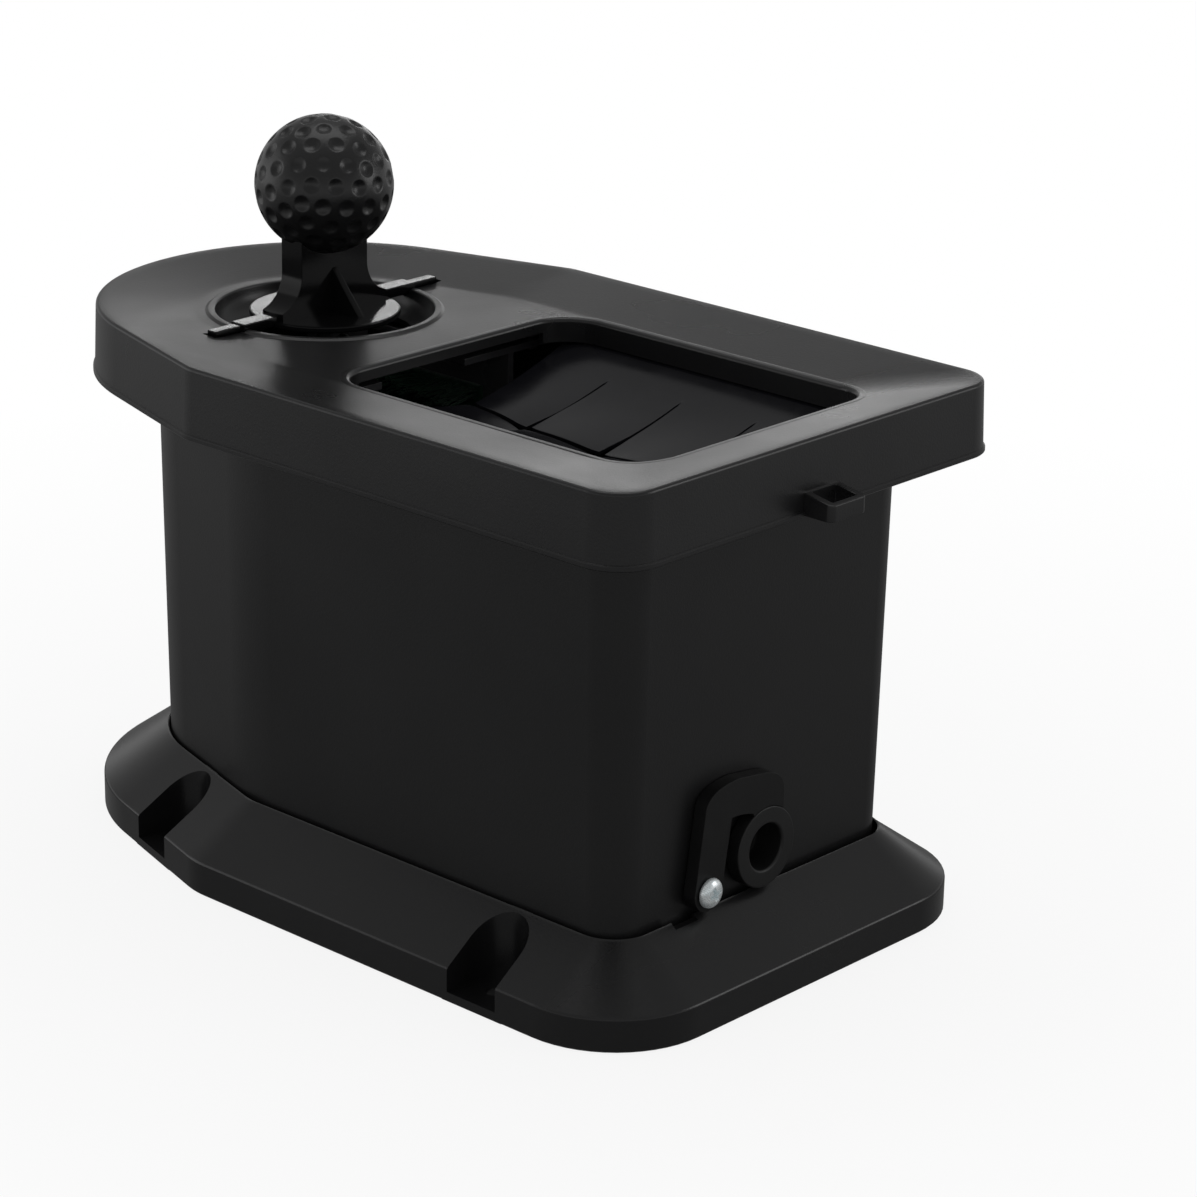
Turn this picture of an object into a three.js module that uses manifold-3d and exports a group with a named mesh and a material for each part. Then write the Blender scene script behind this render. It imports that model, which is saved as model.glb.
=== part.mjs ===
// Golf ball washer. A ball sits in an open cradle that hangs from a rocking handle, and the
// handle swings it between two brushes inside a water tank. The tank stands in a flared base
// with four screw notches, under a dished lid with a large opening and rubber splash flaps.
// Millimetres. +X runs to the square front end with the drain plug, +Z is up, and z = 0 is
// the underside of the base. The origin is the middle of the overall length.

import * as THREE from 'three';
import { mergeVertices } from 'three/addons/utils/BufferGeometryUtils.js';
import { ConvexHull } from 'three/addons/math/ConvexHull.js';
import Module from 'manifold-3d';

const wasm = await Module();
wasm.setup();

const degree = Math.PI / 180;

// Driving dimensions

const clearance = 0.3;
const overrun = 1;

const plan = {
  rearCentreX: -68.7,
  rearRadius: 71,
  halfWidth: 82.5,
  lidFrontX: 130.3,
  baseFrontX: 133.3,
  leastCorner: 0.6,
  sideEndX: -40.5,
  cornerSteps: 4,
  rearSteps: 14,
};

const lid = {
  top: 164,
  skirtDepth: 21.5,
  dish: 3.6,
  dishStart: 4,
  dishEnd: 27,
  wall: 2.4,
  lipHeight: 1.6,
  lipStep: 0.5,
  edgeFillet: 1.8,
  cornerRadius: 14,
  skirtDraft: 2 * degree,
  ribDepth: 7,
  ribWall: 1.5,
};

const opening = {
  rearX: -13.7,
  frontX: 107.7,
  sideMargin: 33,
  cornerRadius: 13,
  flangeWall: 1.6,
  flangeDepth: 7.4,
  rearLift: 3.4,
  rearLiftReach: 10,
  rearLiftHalfWidth: 39,
  lipWidth: 4.6,
  lipRise: 0.8,
};

// Cross section of the opening's lip: share of its width, share of its rise
const lipShares = [[1, 0], [0.62, 0.85], [0.3, 1], [0.08, 0.4], [0, -1]];

const recess = {
  outerRadius: 37.2,
  crestRadius: 34.4,
  crestRise: 1,
  holeRadius: 27,
  bowlDepth: 7,
  wall: 1.8,
  sides: 32,
};

const loop = {
  reach: 9.4,
  width: 15.4,
  earWall: 2.6,
  frontWall: 2,
  rise: 0.1,
  frontHeight: 4.9,
  rootHeight: 6.6,
  cornerRadius: 2,
  cornerSteps: 3,
};

const axle = {
  rise: 1.3,
  thickRadius: 3,
  thinRadius: 1.9,
  thickEnd: 36,
  thinEnd: 46.5,
  saddleHalfWidth: 5.2,
  saddleDepth: 5.4,
  slotEndGap: 1.2,
  pocketRadius: 2.6,
  pocketLength: 3.4,
  sides: 12,
};

const knob = {
  radius: 21.3,
  reach: 59.3,
  dimpleRadius: 2.5,
  dimpleDepth: 0.9,
  dimpleDetail: 1,
  dimpleSides: 6,
  wall: 3,
  coreWall: 2.4,
  ventRadius: 2,
  hollowSides: 20,
};

const yoke = {
  bladeWidth: 27.4,
  bladeThickness: 9,
  socketDepth: 7,
  flareRadius: 10.8,
  bellRadius: 14,
  bellEdge: 0.4,
  flareSteps: 6,
  discRadius: 23.2,
  discRise: 0.7,
  discThickness: 2,
  gussetReach: 12,
  gussetHeight: 13.6,
  gussetThickness: 2.5,
  tangWidth: 19,
  tangDrop: 22.7,
  tangThickness: 7,
  barTopShare: 0.36,
};

const paddle = {
  armWidth: 22,
  armDepth: 13,
  armWeb: 3,
  armFlange: 2.4,
  saddleWall: 3.6,
  cradleDrop: 84,
  ballRadius: 21.35,
  ballPlay: 0.85,
  cradleWall: 3.2,
  cradleWidth: 27,
  lipWidth: 2.4,
  lipPlay: 0.6,
  mouthFrom: -65 * degree,
  mouthTo: 85 * degree,
  drainSlotWidth: 4.4,
  drainSlotLength: 15,
  drainSlotAngles: [150, 178, 206, 234, 262].map((angle) => angle * degree),
  sides: 40,
};

const paddleScrew = {
  headRadius: 3,
  headHeight: 1.8,
  shankRadius: 1.4,
  shankLength: 8.6,
  spacing: 8,
  sides: 8,
};

const tank = {
  frontX: 110.6,
  inset: 21.9,
  rearInset: 21.4,
  cornerRadius: 11,
  gaugeHeight: 25,
  draft: 0.75 * degree,
  bottom: 5.3,
  wall: 2.6,
  floor: 3,
  footChamfer: 1.5,
  rimBead: 1,
  rimBeadHeight: 2,
  rimBeadDrop: 3,
};

const base = {
  cornerRadius: 33,
  rimHeight: 10.5,
  slopeTop: 25.2,
  slopeInset: 20.9,
  wall: 2.6,
  ledgeTop: 5,
  ledgeBottom: 2.5,
  ledgeInset: 34,
};

const notch = {
  radius: 9.5,
  reach: 19.4,
  wall: 2.2,
  floor: 3,
  screwHoleRadius: 2.8,
  frontX: 76.5,
  rearX: -69.45,
  arcSteps: 8,
};

const collarGap = {
  from: -39,
  to: -29.6,
  depth: 2.4,
};

const drain = {
  y: -2,
  height: 38,
  holeRadius: 8.9,
  bossRadius: 12.5,
  bossDepth: 2.5,
};

const plug = {
  ringRadius: 12.3,
  ringThickness: 4.7,
  ringEdge: 0.5,
  stemLength: 9,
  stemTaper: 0.5,
  cupRadius: 7,
  cupDepth: 9.5,
  sides: 24,
};

const strap = {
  thickness: 4.4,
  footY: -26.7,
  footZ: 31.6,
  footRadius: 5.9,
  shoulderY: -28.9,
  shoulderZ: 55.5,
  topZ: 62.9,
  rightY: 5.3,
  innerTopZ: 51.6,
  innerLeftY: -17.4,
  bend: 9,
  shoulderBend: 14.4,
  archDrop: 1.5,
  bendSteps: 6,
};

const strapScrew = {
  headRadius: 4.9,
  headHeight: 2.6,
  edge: 0.9,
  shankRadius: 1.9,
  shankLength: 12,
  bossRadius: 4.4,
  bossDepth: 9,
  sides: 16,
};

const flap = {
  thickness: 1.5,
  rootRise: 0.4,
  rootWidth: 6,
  rootRearX: -12.6,
  rootFrontX: 104.5,
  tipTaper: 7,
  tipGap: 1,
  tipDrop: 12.6,
  endLift: 5.5,
  slitLength: 28,
  slitMouth: 2.4,
  slitEnd: 0.8,
  slitPitch: 29.3,
  bellyShare: 0.12,
  stepsAlong: 10,
  stepsAcross: 4,
};

// Radius of a screw head's outer face as a share of its seat's
const headTaperShare = 0.8;

const flapStrip = {
  width: 5.6,
  thickness: 2,
  endMargin: 4,
};

const flapScrew = {
  perSide: 4,
  headRadius: 2.6,
  headHeight: 1.5,
  shankRadius: 1.2,
  shankLength: 8,
  bossRadius: 3,
  sides: 8,
};

const carrier = {
  shelfDrop: 12.8,
  shelfThickness: 2.2,
  frontX: -25.7,
  rearGap: 2.45,
  innerY: 17.5,
  backY: 36.6,
  backThickness: 2.4,
  backBottom: 48,
  wallGap: 1,
  discRelief: 27,
  ribThickness: 2,
  ribReach: 6,
  rearRibReach: 2,
};

// Places of the carrier's ribs along it, with the reach of each
const ribShares = [[0.12, carrier.rearRibReach], [0.5, carrier.ribReach], [0.82, carrier.ribReach]];

const carrierScrew = {
  headRadius: 3,
  headHeight: 1.8,
  shankRadius: 1.5,
  shankLength: 9,
  bossRadius: 3.6,
  frontX: -31,
  frontInset: 30.5,
  rearMargin: 3.5,
  rearY: 33,
  sides: 8,
};

const bristle = {
  padThickness: 2,
  tipY: 17.6,
  radius: 0.85,
  tipRadiusShare: 0.55,
  bottom: 54,
  topGap: 12,
  rearMargin: 3,
  frontX: -36,
  columns: 10,
  rows: 12,
  margin: 2.5,
  sides: 3,
};

const clubBrush = {
  rearX: 22,
  frontX: 88,
  halfWidth: 17,
  padThickness: 3,
  length: 26,
  columns: 11,
  rows: 6,
  margin: 4,
  railWidth: 2,
  railHeight: 2.4,
};

const tankScrew = {
  headRadius: 3.6,
  headHeight: 2,
  shankRadius: 1.7,
  shankLength: 10,
  bossRadius: 4.2,
  bossHeight: 9,
  wallDistance: 7.5,
  frontX: 92,
  rearX: -44,
  sides: 8,
};

const lidHook = {
  width: 14,
  thickness: 2,
  barb: 1.2,
  frontX: 70,
  rearX: -10,
  drop: 8.6,
};

// Sizes and places that follow from the driving dimensions

const skirtBottom = lid.top - lid.skirtDepth;
const lidFloor = lid.top - lid.dish;
const lidUnderside = lidFloor - lid.wall;
const flangeBottom = lidFloor - opening.flangeDepth;
const tankTop = lidUnderside - clearance;
const tankFloor = tank.bottom + tank.floor;
const axleHeight = lidFloor + axle.rise;
const knobCentre = axleHeight + knob.reach - knob.radius;
const cradleHeight = axleHeight - paddle.cradleDrop;
const tangBottom = axleHeight - yoke.tangDrop;
const openingHalfWidth = plan.halfWidth - opening.sideMargin;
const shelfBottom = lidFloor - carrier.shelfDrop;
const cradleInner = paddle.ballRadius + paddle.ballPlay;
const cradleOuter = cradleInner + paddle.cradleWall;

// Angle of the tapering sides, which run from the end of the straight ones to the round rear.
const sideEnd = Math.hypot(plan.sideEndX - plan.rearCentreX, plan.halfWidth);
const taper = Math.atan2(plan.halfWidth, plan.sideEndX - plan.rearCentreX)
  + Math.acos(plan.rearRadius / sideEnd) - Math.PI / 2;

const lidPlan = {
  frontX: plan.lidFrontX,
  halfWidth: plan.halfWidth,
  rearRadius: plan.rearRadius,
  cornerRadius: lid.cornerRadius,
};

const basePlan = {
  frontX: plan.baseFrontX,
  halfWidth: plan.halfWidth,
  rearRadius: plan.rearRadius,
  cornerRadius: base.cornerRadius,
};

const tankPlan = {
  frontX: tank.frontX,
  halfWidth: plan.halfWidth - tank.inset,
  rearRadius: plan.rearRadius - tank.rearInset,
  cornerRadius: tank.cornerRadius,
};

// Rear end of the brush carriers, where their back plates come near the round rear of the tank.
const carrierRearRadius = tankPlan.rearRadius - tankInsetAt(carrier.backBottom) - tank.wall;
const carrierRearX = plan.rearCentreX + carrier.rearGap
  - Math.sqrt(carrierRearRadius ** 2 - (carrier.backY + carrier.backThickness) ** 2);

// Solids from three.js geometry

function solidOf(geometry) {
  const bare = geometry.clone();
  bare.deleteAttribute('normal');
  bare.deleteAttribute('uv');
  const merged = mergeVertices(bare);
  const points = merged.attributes.position;
  const triangles = [];
  let volume = 0;
  for (let i = 0; i < merged.index.count; i += 3) {
    const [a, b, c] = [0, 1, 2].map((corner) => merged.index.getX(i + corner));
    if (a === b || b === c || c === a) continue;
    triangles.push([a, b, c]);
    const [p, q, r] = [a, b, c].map((v) => new THREE.Vector3().fromBufferAttribute(points, v));
    volume += p.dot(q.cross(r));
  }
  const facingOut = volume > 0 ? triangles : triangles.map(([a, b, c]) => [a, c, b]);
  const mesh = new wasm.Mesh({
    numProp: 3,
    vertProperties: Float32Array.from(points.array),
    triVerts: Uint32Array.from(facingOut.flat()),
  });
  return new wasm.Manifold(mesh);
}

function geometryOf(solid) {
  const mesh = solid.getMesh();
  const geometry = new THREE.BufferGeometry();
  geometry.setAttribute('position', new THREE.BufferAttribute(mesh.vertProperties, 3));
  geometry.setIndex(new THREE.BufferAttribute(mesh.triVerts, 1));
  const flat = geometry.toNonIndexed();
  flat.computeVertexNormals();
  return flat;
}

function joined(solids) {
  return solids.reduce((whole, solid) => whole.add(solid));
}

function block(x0, x1, y0, y1, z0, z1) {
  const box = new THREE.BoxGeometry(x1 - x0, y1 - y0, z1 - z0);
  box.translate((x0 + x1) / 2, (y0 + y1) / 2, (z0 + z1) / 2);
  return solidOf(box);
}

function cylinderGeometry(radius, endRadius, length, sides) {
  const cylinder = new THREE.CylinderGeometry(endRadius, radius, length, sides);
  cylinder.translate(0, length / 2, 0);
  return cylinder;
}

function cylinderX(radius, x0, x1, y, z, sides, endRadius = radius) {
  const cylinder = cylinderGeometry(radius, endRadius, x1 - x0, sides);
  cylinder.rotateZ(-Math.PI / 2);
  cylinder.translate(x0, y, z);
  return solidOf(cylinder);
}

function cylinderY(radius, y0, y1, x, z, sides) {
  const cylinder = cylinderGeometry(radius, radius, y1 - y0, sides);
  cylinder.translate(x, y0, z);
  return solidOf(cylinder);
}

function cylinderZ(radius, z0, z1, x, y, sides, endRadius = radius) {
  const cylinder = cylinderGeometry(radius, endRadius, z1 - z0, sides);
  cylinder.rotateX(Math.PI / 2);
  cylinder.translate(x, y, z0);
  return solidOf(cylinder);
}

// A flat shape drawn in X and Y, raised from z0 to z1.
function plateZ(shape, z0, z1, curveSegments) {
  const plate = new THREE.ExtrudeGeometry(shape, { depth: z1 - z0, bevelEnabled: false, curveSegments });
  plate.translate(0, 0, z0);
  return solidOf(plate);
}

// A flat shape drawn in Y and Z, carried from x0 to x1.
function plateX(shape, x0, x1, curveSegments) {
  const plate = new THREE.ExtrudeGeometry(shape, { depth: x1 - x0, bevelEnabled: false, curveSegments });
  const [alongY, alongZ, alongX] = [[0, 1, 0], [0, 0, 1], [1, 0, 0]].map((v) => new THREE.Vector3(...v));
  plate.applyMatrix4(new THREE.Matrix4().makeBasis(alongY, alongZ, alongX));
  plate.translate(x0, 0, 0);
  return solidOf(plate);
}

// A flat shape drawn in X and Z, carried from y0 to y1.
function plateY(shape, y0, y1, curveSegments) {
  const plate = new THREE.ExtrudeGeometry(shape, { depth: y1 - y0, bevelEnabled: false, curveSegments });
  plate.rotateX(Math.PI / 2);
  plate.translate(0, y1, 0);
  return solidOf(plate);
}

// A profile of [radius, height] pairs turned about a vertical axis.
function turnedZ(profile, x, y, sides) {
  const points = profile.map(([radius, height]) => new THREE.Vector2(radius, height));
  const lathe = new THREE.LatheGeometry(points, sides);
  lathe.rotateX(Math.PI / 2);
  lathe.translate(x, y, 0);
  return solidOf(lathe);
}

// A profile of [radius, place along X] pairs turned about an axis parallel to X.
function turnedX(profile, y, z, sides) {
  const points = profile.map(([radius, place]) => new THREE.Vector2(radius, place));
  const lathe = new THREE.LatheGeometry(points, sides);
  lathe.rotateZ(-Math.PI / 2);
  lathe.translate(0, y, z);
  return solidOf(lathe);
}

// Rings of equal count joined into one skin: capped at both ends, or closed on itself.
function loft(rings, closed = false) {
  const count = rings[0].length;
  const points = rings.flat();
  const index = [];
  const bands = closed ? rings.length : rings.length - 1;
  for (let band = 0; band < bands; band += 1) {
    const low = band * count;
    const high = ((band + 1) % rings.length) * count;
    for (let i = 0; i < count; i += 1) {
      const next = (i + 1) % count;
      index.push(low + i, low + next, high + next, low + i, high + next, high + i);
    }
  }
  if (!closed) {
    const last = (rings.length - 1) * count;
    const middleOf = (ring) => ring.reduce((sum, p) => sum.add(p), new THREE.Vector3()).divideScalar(count);
    points.push(middleOf(rings[0]), middleOf(rings[rings.length - 1]));
    for (let i = 0; i < count; i += 1) {
      const next = (i + 1) % count;
      index.push(points.length - 2, next, i, points.length - 1, last + i, last + next);
    }
  }
  const geometry = new THREE.BufferGeometry().setFromPoints(points);
  geometry.setIndex(index);
  return solidOf(geometry);
}

// Outlines

function arcPoints(x, y, z, radius, from, to, steps) {
  return Array.from({ length: steps + 1 }, (_, i) => {
    const angle = from + ((to - from) * i) / steps;
    return new THREE.Vector3(x + radius * Math.cos(angle), y + radius * Math.sin(angle), z);
  });
}

// Where the straight side of a plan ring meets its tapering rear part.
function vertexX(radius, half) {
  return plan.rearCentreX + (half * Math.cos(taper) - radius) / Math.sin(taper);
}

// The outline shared by lid, tank and base: square front, straight sides, tapering round rear.
function planRing(size, inset, z) {
  const radius = size.rearRadius - inset;
  const half = size.halfWidth - inset;
  const corner = Math.max(size.cornerRadius - inset, plan.leastCorner);
  const cornerX = size.frontX - inset - corner;
  const cornerY = half - corner;
  const quarter = Math.PI / 2;
  const vertex = vertexX(radius, half);
  return [
    ...arcPoints(cornerX, -cornerY, z, corner, -quarter, 0, plan.cornerSteps),
    ...arcPoints(cornerX, cornerY, z, corner, 0, quarter, plan.cornerSteps),
    new THREE.Vector3(vertex, half, z),
    ...arcPoints(plan.rearCentreX, 0, z, radius, quarter + taper, 3 * quarter - taper,
      plan.rearSteps),
    new THREE.Vector3(vertex, -half, z),
  ];
}

// The opening's rounded rectangle, grown outward by an offset.
function openingRing(offset, z) {
  const radius = opening.cornerRadius + offset;
  const x0 = opening.rearX - offset + radius;
  const x1 = opening.frontX + offset - radius;
  const y = openingHalfWidth + offset - radius;
  const quarter = Math.PI / 2;
  return [
    ...arcPoints(x1, -y, z, radius, -quarter, 0, plan.cornerSteps),
    ...arcPoints(x1, y, z, radius, 0, quarter, plan.cornerSteps),
    ...arcPoints(x0, y, z, radius, quarter, 2 * quarter, plan.cornerSteps),
    ...arcPoints(x0, -y, z, radius, 2 * quarter, 3 * quarter, plan.cornerSteps),
  ];
}

function tankInsetAt(z) {
  return (tank.gaugeHeight - z) * Math.tan(tank.draft);
}

function tankRing(z, extra = 0) {
  return planRing(tankPlan, tankInsetAt(z) + extra, z);
}

function tankFrontAt(z) {
  return tankPlan.frontX - tankInsetAt(z);
}

function tankHalfWidthAt(z) {
  return tankPlan.halfWidth - tankInsetAt(z);
}

// Lid

// How far the lid's top lies above its dished floor, at an inset from the skirt.
function dishRise(inset) {
  return lid.dish * (1 - THREE.MathUtils.smoothstep(inset, lid.dishStart, lid.dishEnd));
}

function lidShell() {
  const draftInset = (z) => lid.lipStep + (z - skirtBottom) * Math.tan(lid.skirtDraft);
  const topInset = draftInset(lid.top);
  const dishSteps = 5;
  const dishInsets = Array.from({ length: dishSteps }, (_, i) => {
    return lid.dishStart + ((lid.dishEnd - lid.dishStart) * i) / (dishSteps - 1);
  });
  const ring = (inset, z) => planRing(lidPlan, inset, z);
  const underside = dishInsets.map((inset) => ring(inset, lidUnderside + dishRise(inset))).reverse();
  const topside = dishInsets.map((inset) => ring(inset, lidFloor + dishRise(inset)));
  const innerTop = lid.top - lid.wall;
  const lipTop = skirtBottom + lid.lipHeight;
  return loft([
    ...underside,
    ring(draftInset(innerTop) + lid.wall, innerTop - lid.wall / 2),
    ring(lid.lipStep + lid.wall, skirtBottom),
    ring(0, skirtBottom),
    ring(0, lipTop),
    ring(draftInset(lipTop), lipTop + lid.lipStep / 2),
    ring(draftInset(lid.top - lid.edgeFillet), lid.top - lid.edgeFillet),
    ring(topInset + lid.edgeFillet * (1 - Math.SQRT1_2), lid.top - lid.edgeFillet * (1 - Math.SQRT1_2)),
    ring(topInset + lid.edgeFillet, lid.top),
    ...topside,
  ]);
}

// Wall round the opening with the raised lip on it; the wall is shallower along the rear.
function openingFlange() {
  const rearRelief = block(opening.rearX - opening.rearLiftReach, opening.rearX + opening.rearLiftReach,
    -opening.rearLiftHalfWidth, opening.rearLiftHalfWidth,
    flangeBottom - overrun, flangeBottom + opening.rearLift);
  return loft([
    openingRing(opening.flangeWall, flangeBottom),
    openingRing(opening.flangeWall, lidUnderside),
    openingRing(opening.lipWidth, lidUnderside),
    ...lipShares.map(([width, rise]) => {
      return openingRing(opening.lipWidth * width, lidFloor + opening.lipRise * rise);
    }),
    openingRing(0, flangeBottom),
  ], true).subtract(rearRelief);
}

// Raised ring round the handle, with a bowl that falls to the hole.
function handleRecess() {
  const crest = lidFloor + recess.crestRise;
  const holeEdge = lidFloor - recess.bowlDepth;
  const bowlSteps = 4;
  const bowl = (wall) => Array.from({ length: bowlSteps + 1 }, (_, i) => {
    const angle = (Math.PI / 2) * (i / bowlSteps);
    const edge = recess.crestRadius - wall;
    const radius = edge - (edge - recess.holeRadius) * (1 - Math.cos(angle));
    return [radius, lidFloor - recess.bowlDepth * Math.sin(angle)];
  });
  const inner = bowl(recess.wall);
  const outer = bowl(0).map(([radius, height]) => [radius + recess.wall / 2, height - recess.wall]);
  return turnedZ([
    [recess.outerRadius, lidUnderside],
    [recess.outerRadius, lidFloor],
    [(recess.outerRadius + recess.crestRadius) / 2, crest - recess.crestRise / 4],
    [recess.crestRadius, crest],
    ...inner,
    [recess.holeRadius, holeEdge - recess.wall],
    ...outer.reverse(),
    [recess.outerRadius, lidUnderside],
  ], plan.rearCentreX, 0, recess.sides);
}

// Block under the lid that the trunnion's slot is cut into.
function axleSaddle(side) {
  const near = recess.crestRadius;
  const far = axle.thinEnd + axle.slotEndGap + clearance;
  const y0 = Math.min(side * near, side * far);
  const y1 = Math.max(side * near, side * far);
  const x = plan.rearCentreX;
  return block(x - axle.saddleHalfWidth, x + axle.saddleHalfWidth, y0, y1,
    lidFloor - axle.saddleDepth, lidFloor - lid.wall / 2);
}

// Open-topped slot with a half-round floor, along Y.
function axleSlot(radius, from, to, side) {
  const half = radius + clearance;
  const x = plan.rearCentreX;
  const y0 = Math.min(side * from, side * to);
  const y1 = Math.max(side * from, side * to);
  const round = cylinderY(half, y0, y1, x, axleHeight, axle.sides);
  const above = block(x - half, x + half, y0, y1, axleHeight, axleHeight + 2 * axle.saddleDepth);
  return round.add(above);
}

function skirtLoop() {
  const skirtX = plan.lidFrontX;
  const tip = skirtX + loop.reach;
  const half = loop.width / 2;
  const root = skirtX - lid.wall;
  const bottom = skirtBottom + loop.rise;
  const frontTop = bottom + loop.frontHeight;
  const rootTop = bottom + loop.rootHeight;
  const outline = new THREE.Shape();
  outline.moveTo(root, -half);
  outline.lineTo(tip - loop.cornerRadius, -half);
  const round = loop.cornerRadius;
  outline.absarc(tip - round, -half + round, round, -Math.PI / 2, 0);
  outline.absarc(tip - round, half - round, round, 0, Math.PI / 2);
  outline.lineTo(root, half);
  const gap = block(skirtX, tip - loop.frontWall, -half + loop.earWall, half - loop.earWall,
    bottom - overrun, rootTop + overrun);
  const slopeAway = new THREE.Shape();
  slopeAway.moveTo(root, rootTop);
  slopeAway.lineTo(skirtX, rootTop);
  slopeAway.lineTo(tip + overrun, frontTop);
  slopeAway.lineTo(tip + overrun, rootTop + overrun);
  slopeAway.lineTo(root, rootTop + overrun);
  return plateZ(outline, bottom, rootTop, loop.cornerSteps).subtract(gap)
    .subtract(plateY(slopeAway, -half - overrun, half + overrun));
}

// Rib that drops inside the tank's rim and centres the lid.
function locatingRib() {
  const outer = tank.wall + clearance;
  const bottom = tankTop - lid.ribDepth;
  return loft([
    tankRing(bottom, outer),
    tankRing(lidUnderside + lid.wall / 2, outer),
    tankRing(lidUnderside + lid.wall / 2, outer + lid.ribWall),
    tankRing(bottom, outer + lid.ribWall),
  ], true);
}

function hook(x, side) {
  const beadFace = tankHalfWidthAt(tankTop) + tank.rimBead + clearance;
  const beadBottom = tankTop - tank.rimBeadDrop - tank.rimBeadHeight;
  const outer = beadFace + lidHook.thickness;
  const bottom = lidUnderside - lidHook.drop;
  const barbTop = beadBottom - clearance;
  const section = new THREE.Shape();
  section.moveTo(side * outer, lidUnderside + lid.wall / 2);
  section.lineTo(side * beadFace, lidUnderside + lid.wall / 2);
  section.lineTo(side * beadFace, barbTop);
  section.lineTo(side * (beadFace - lidHook.barb), barbTop);
  section.lineTo(side * beadFace, bottom);
  section.lineTo(side * outer, bottom);
  section.closePath();
  return plateX(section, x - lidHook.width / 2, x + lidHook.width / 2);
}

function flapScrewPlaces() {
  const rear = flap.rootRearX + flapStrip.endMargin * 2;
  const front = flap.rootFrontX - flapStrip.endMargin * 2;
  const y = openingHalfWidth + flap.rootWidth / 2;
  return Array.from({ length: flapScrew.perSide }, (_, i) => {
    return { x: rear + ((front - rear) * i) / (flapScrew.perSide - 1), y };
  });
}

const carrierScrewPlaces = [
  { x: carrierScrew.frontX, y: plan.halfWidth - carrierScrew.frontInset },
  { x: carrierRearX + carrierScrew.rearMargin, y: carrierScrew.rearY },
];

// Hanging boss with a blind pilot hole for a screw that comes up from below.
function hangingBoss(place, bottom, screw) {
  const hole = cylinderZ(screw.shankRadius + clearance, bottom - overrun, lidUnderside - clearance,
    place.x, place.y, screw.sides);
  const boss = cylinderZ(screw.bossRadius, bottom, lidUnderside + lid.wall / 2,
    place.x, place.y, screw.sides);
  return { boss, hole };
}

function makeLid() {
  const holeTop = lid.top + overrun;
  const handleHole = cylinderZ((recess.outerRadius + recess.crestRadius) / 2, lidUnderside - overrun,
    holeTop, plan.rearCentreX, 0, recess.sides);
  const openingHole = loft([
    openingRing(opening.lipWidth / 2, lidUnderside - overrun),
    openingRing(opening.lipWidth / 2, holeTop),
  ]);
  const sides = [-1, 1];
  const mirror = (place, side) => ({ x: place.x, y: place.y * side });
  const shelfBossBottom = shelfBottom + carrier.shelfThickness + clearance;
  const bosses = sides.flatMap((side) => [
    ...flapScrewPlaces().map((place) => hangingBoss(mirror(place, side), flangeBottom, flapScrew)),
    ...carrierScrewPlaces.map((place) => {
      return hangingBoss(mirror(place, side), shelfBossBottom, carrierScrew);
    }),
  ]);
  const slots = sides.flatMap((side) => [
    axleSlot(axle.thickRadius, recess.holeRadius - recess.wall, axle.thickEnd + clearance, side),
    axleSlot(axle.thinRadius, axle.thickEnd, axle.thinEnd + axle.slotEndGap, side),
    axleSlot(axle.pocketRadius, axle.thinEnd - axle.pocketLength, axle.thinEnd + axle.slotEndGap, side),
  ]);
  const additions = [
    openingFlange(),
    handleRecess(),
    locatingRib(),
    skirtLoop(),
    ...sides.map(axleSaddle),
    ...sides.flatMap((side) => [hook(lidHook.frontX, side), hook(lidHook.rearX, side)]),
    ...bosses.map(({ boss }) => boss),
  ];
  const cuts = [...slots, ...bosses.map(({ hole }) => hole)];
  const body = joined([lidShell().subtract(openingHole).subtract(handleHole), ...additions]);
  return body.subtract(joined(cuts));
}

// Tank

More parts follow.
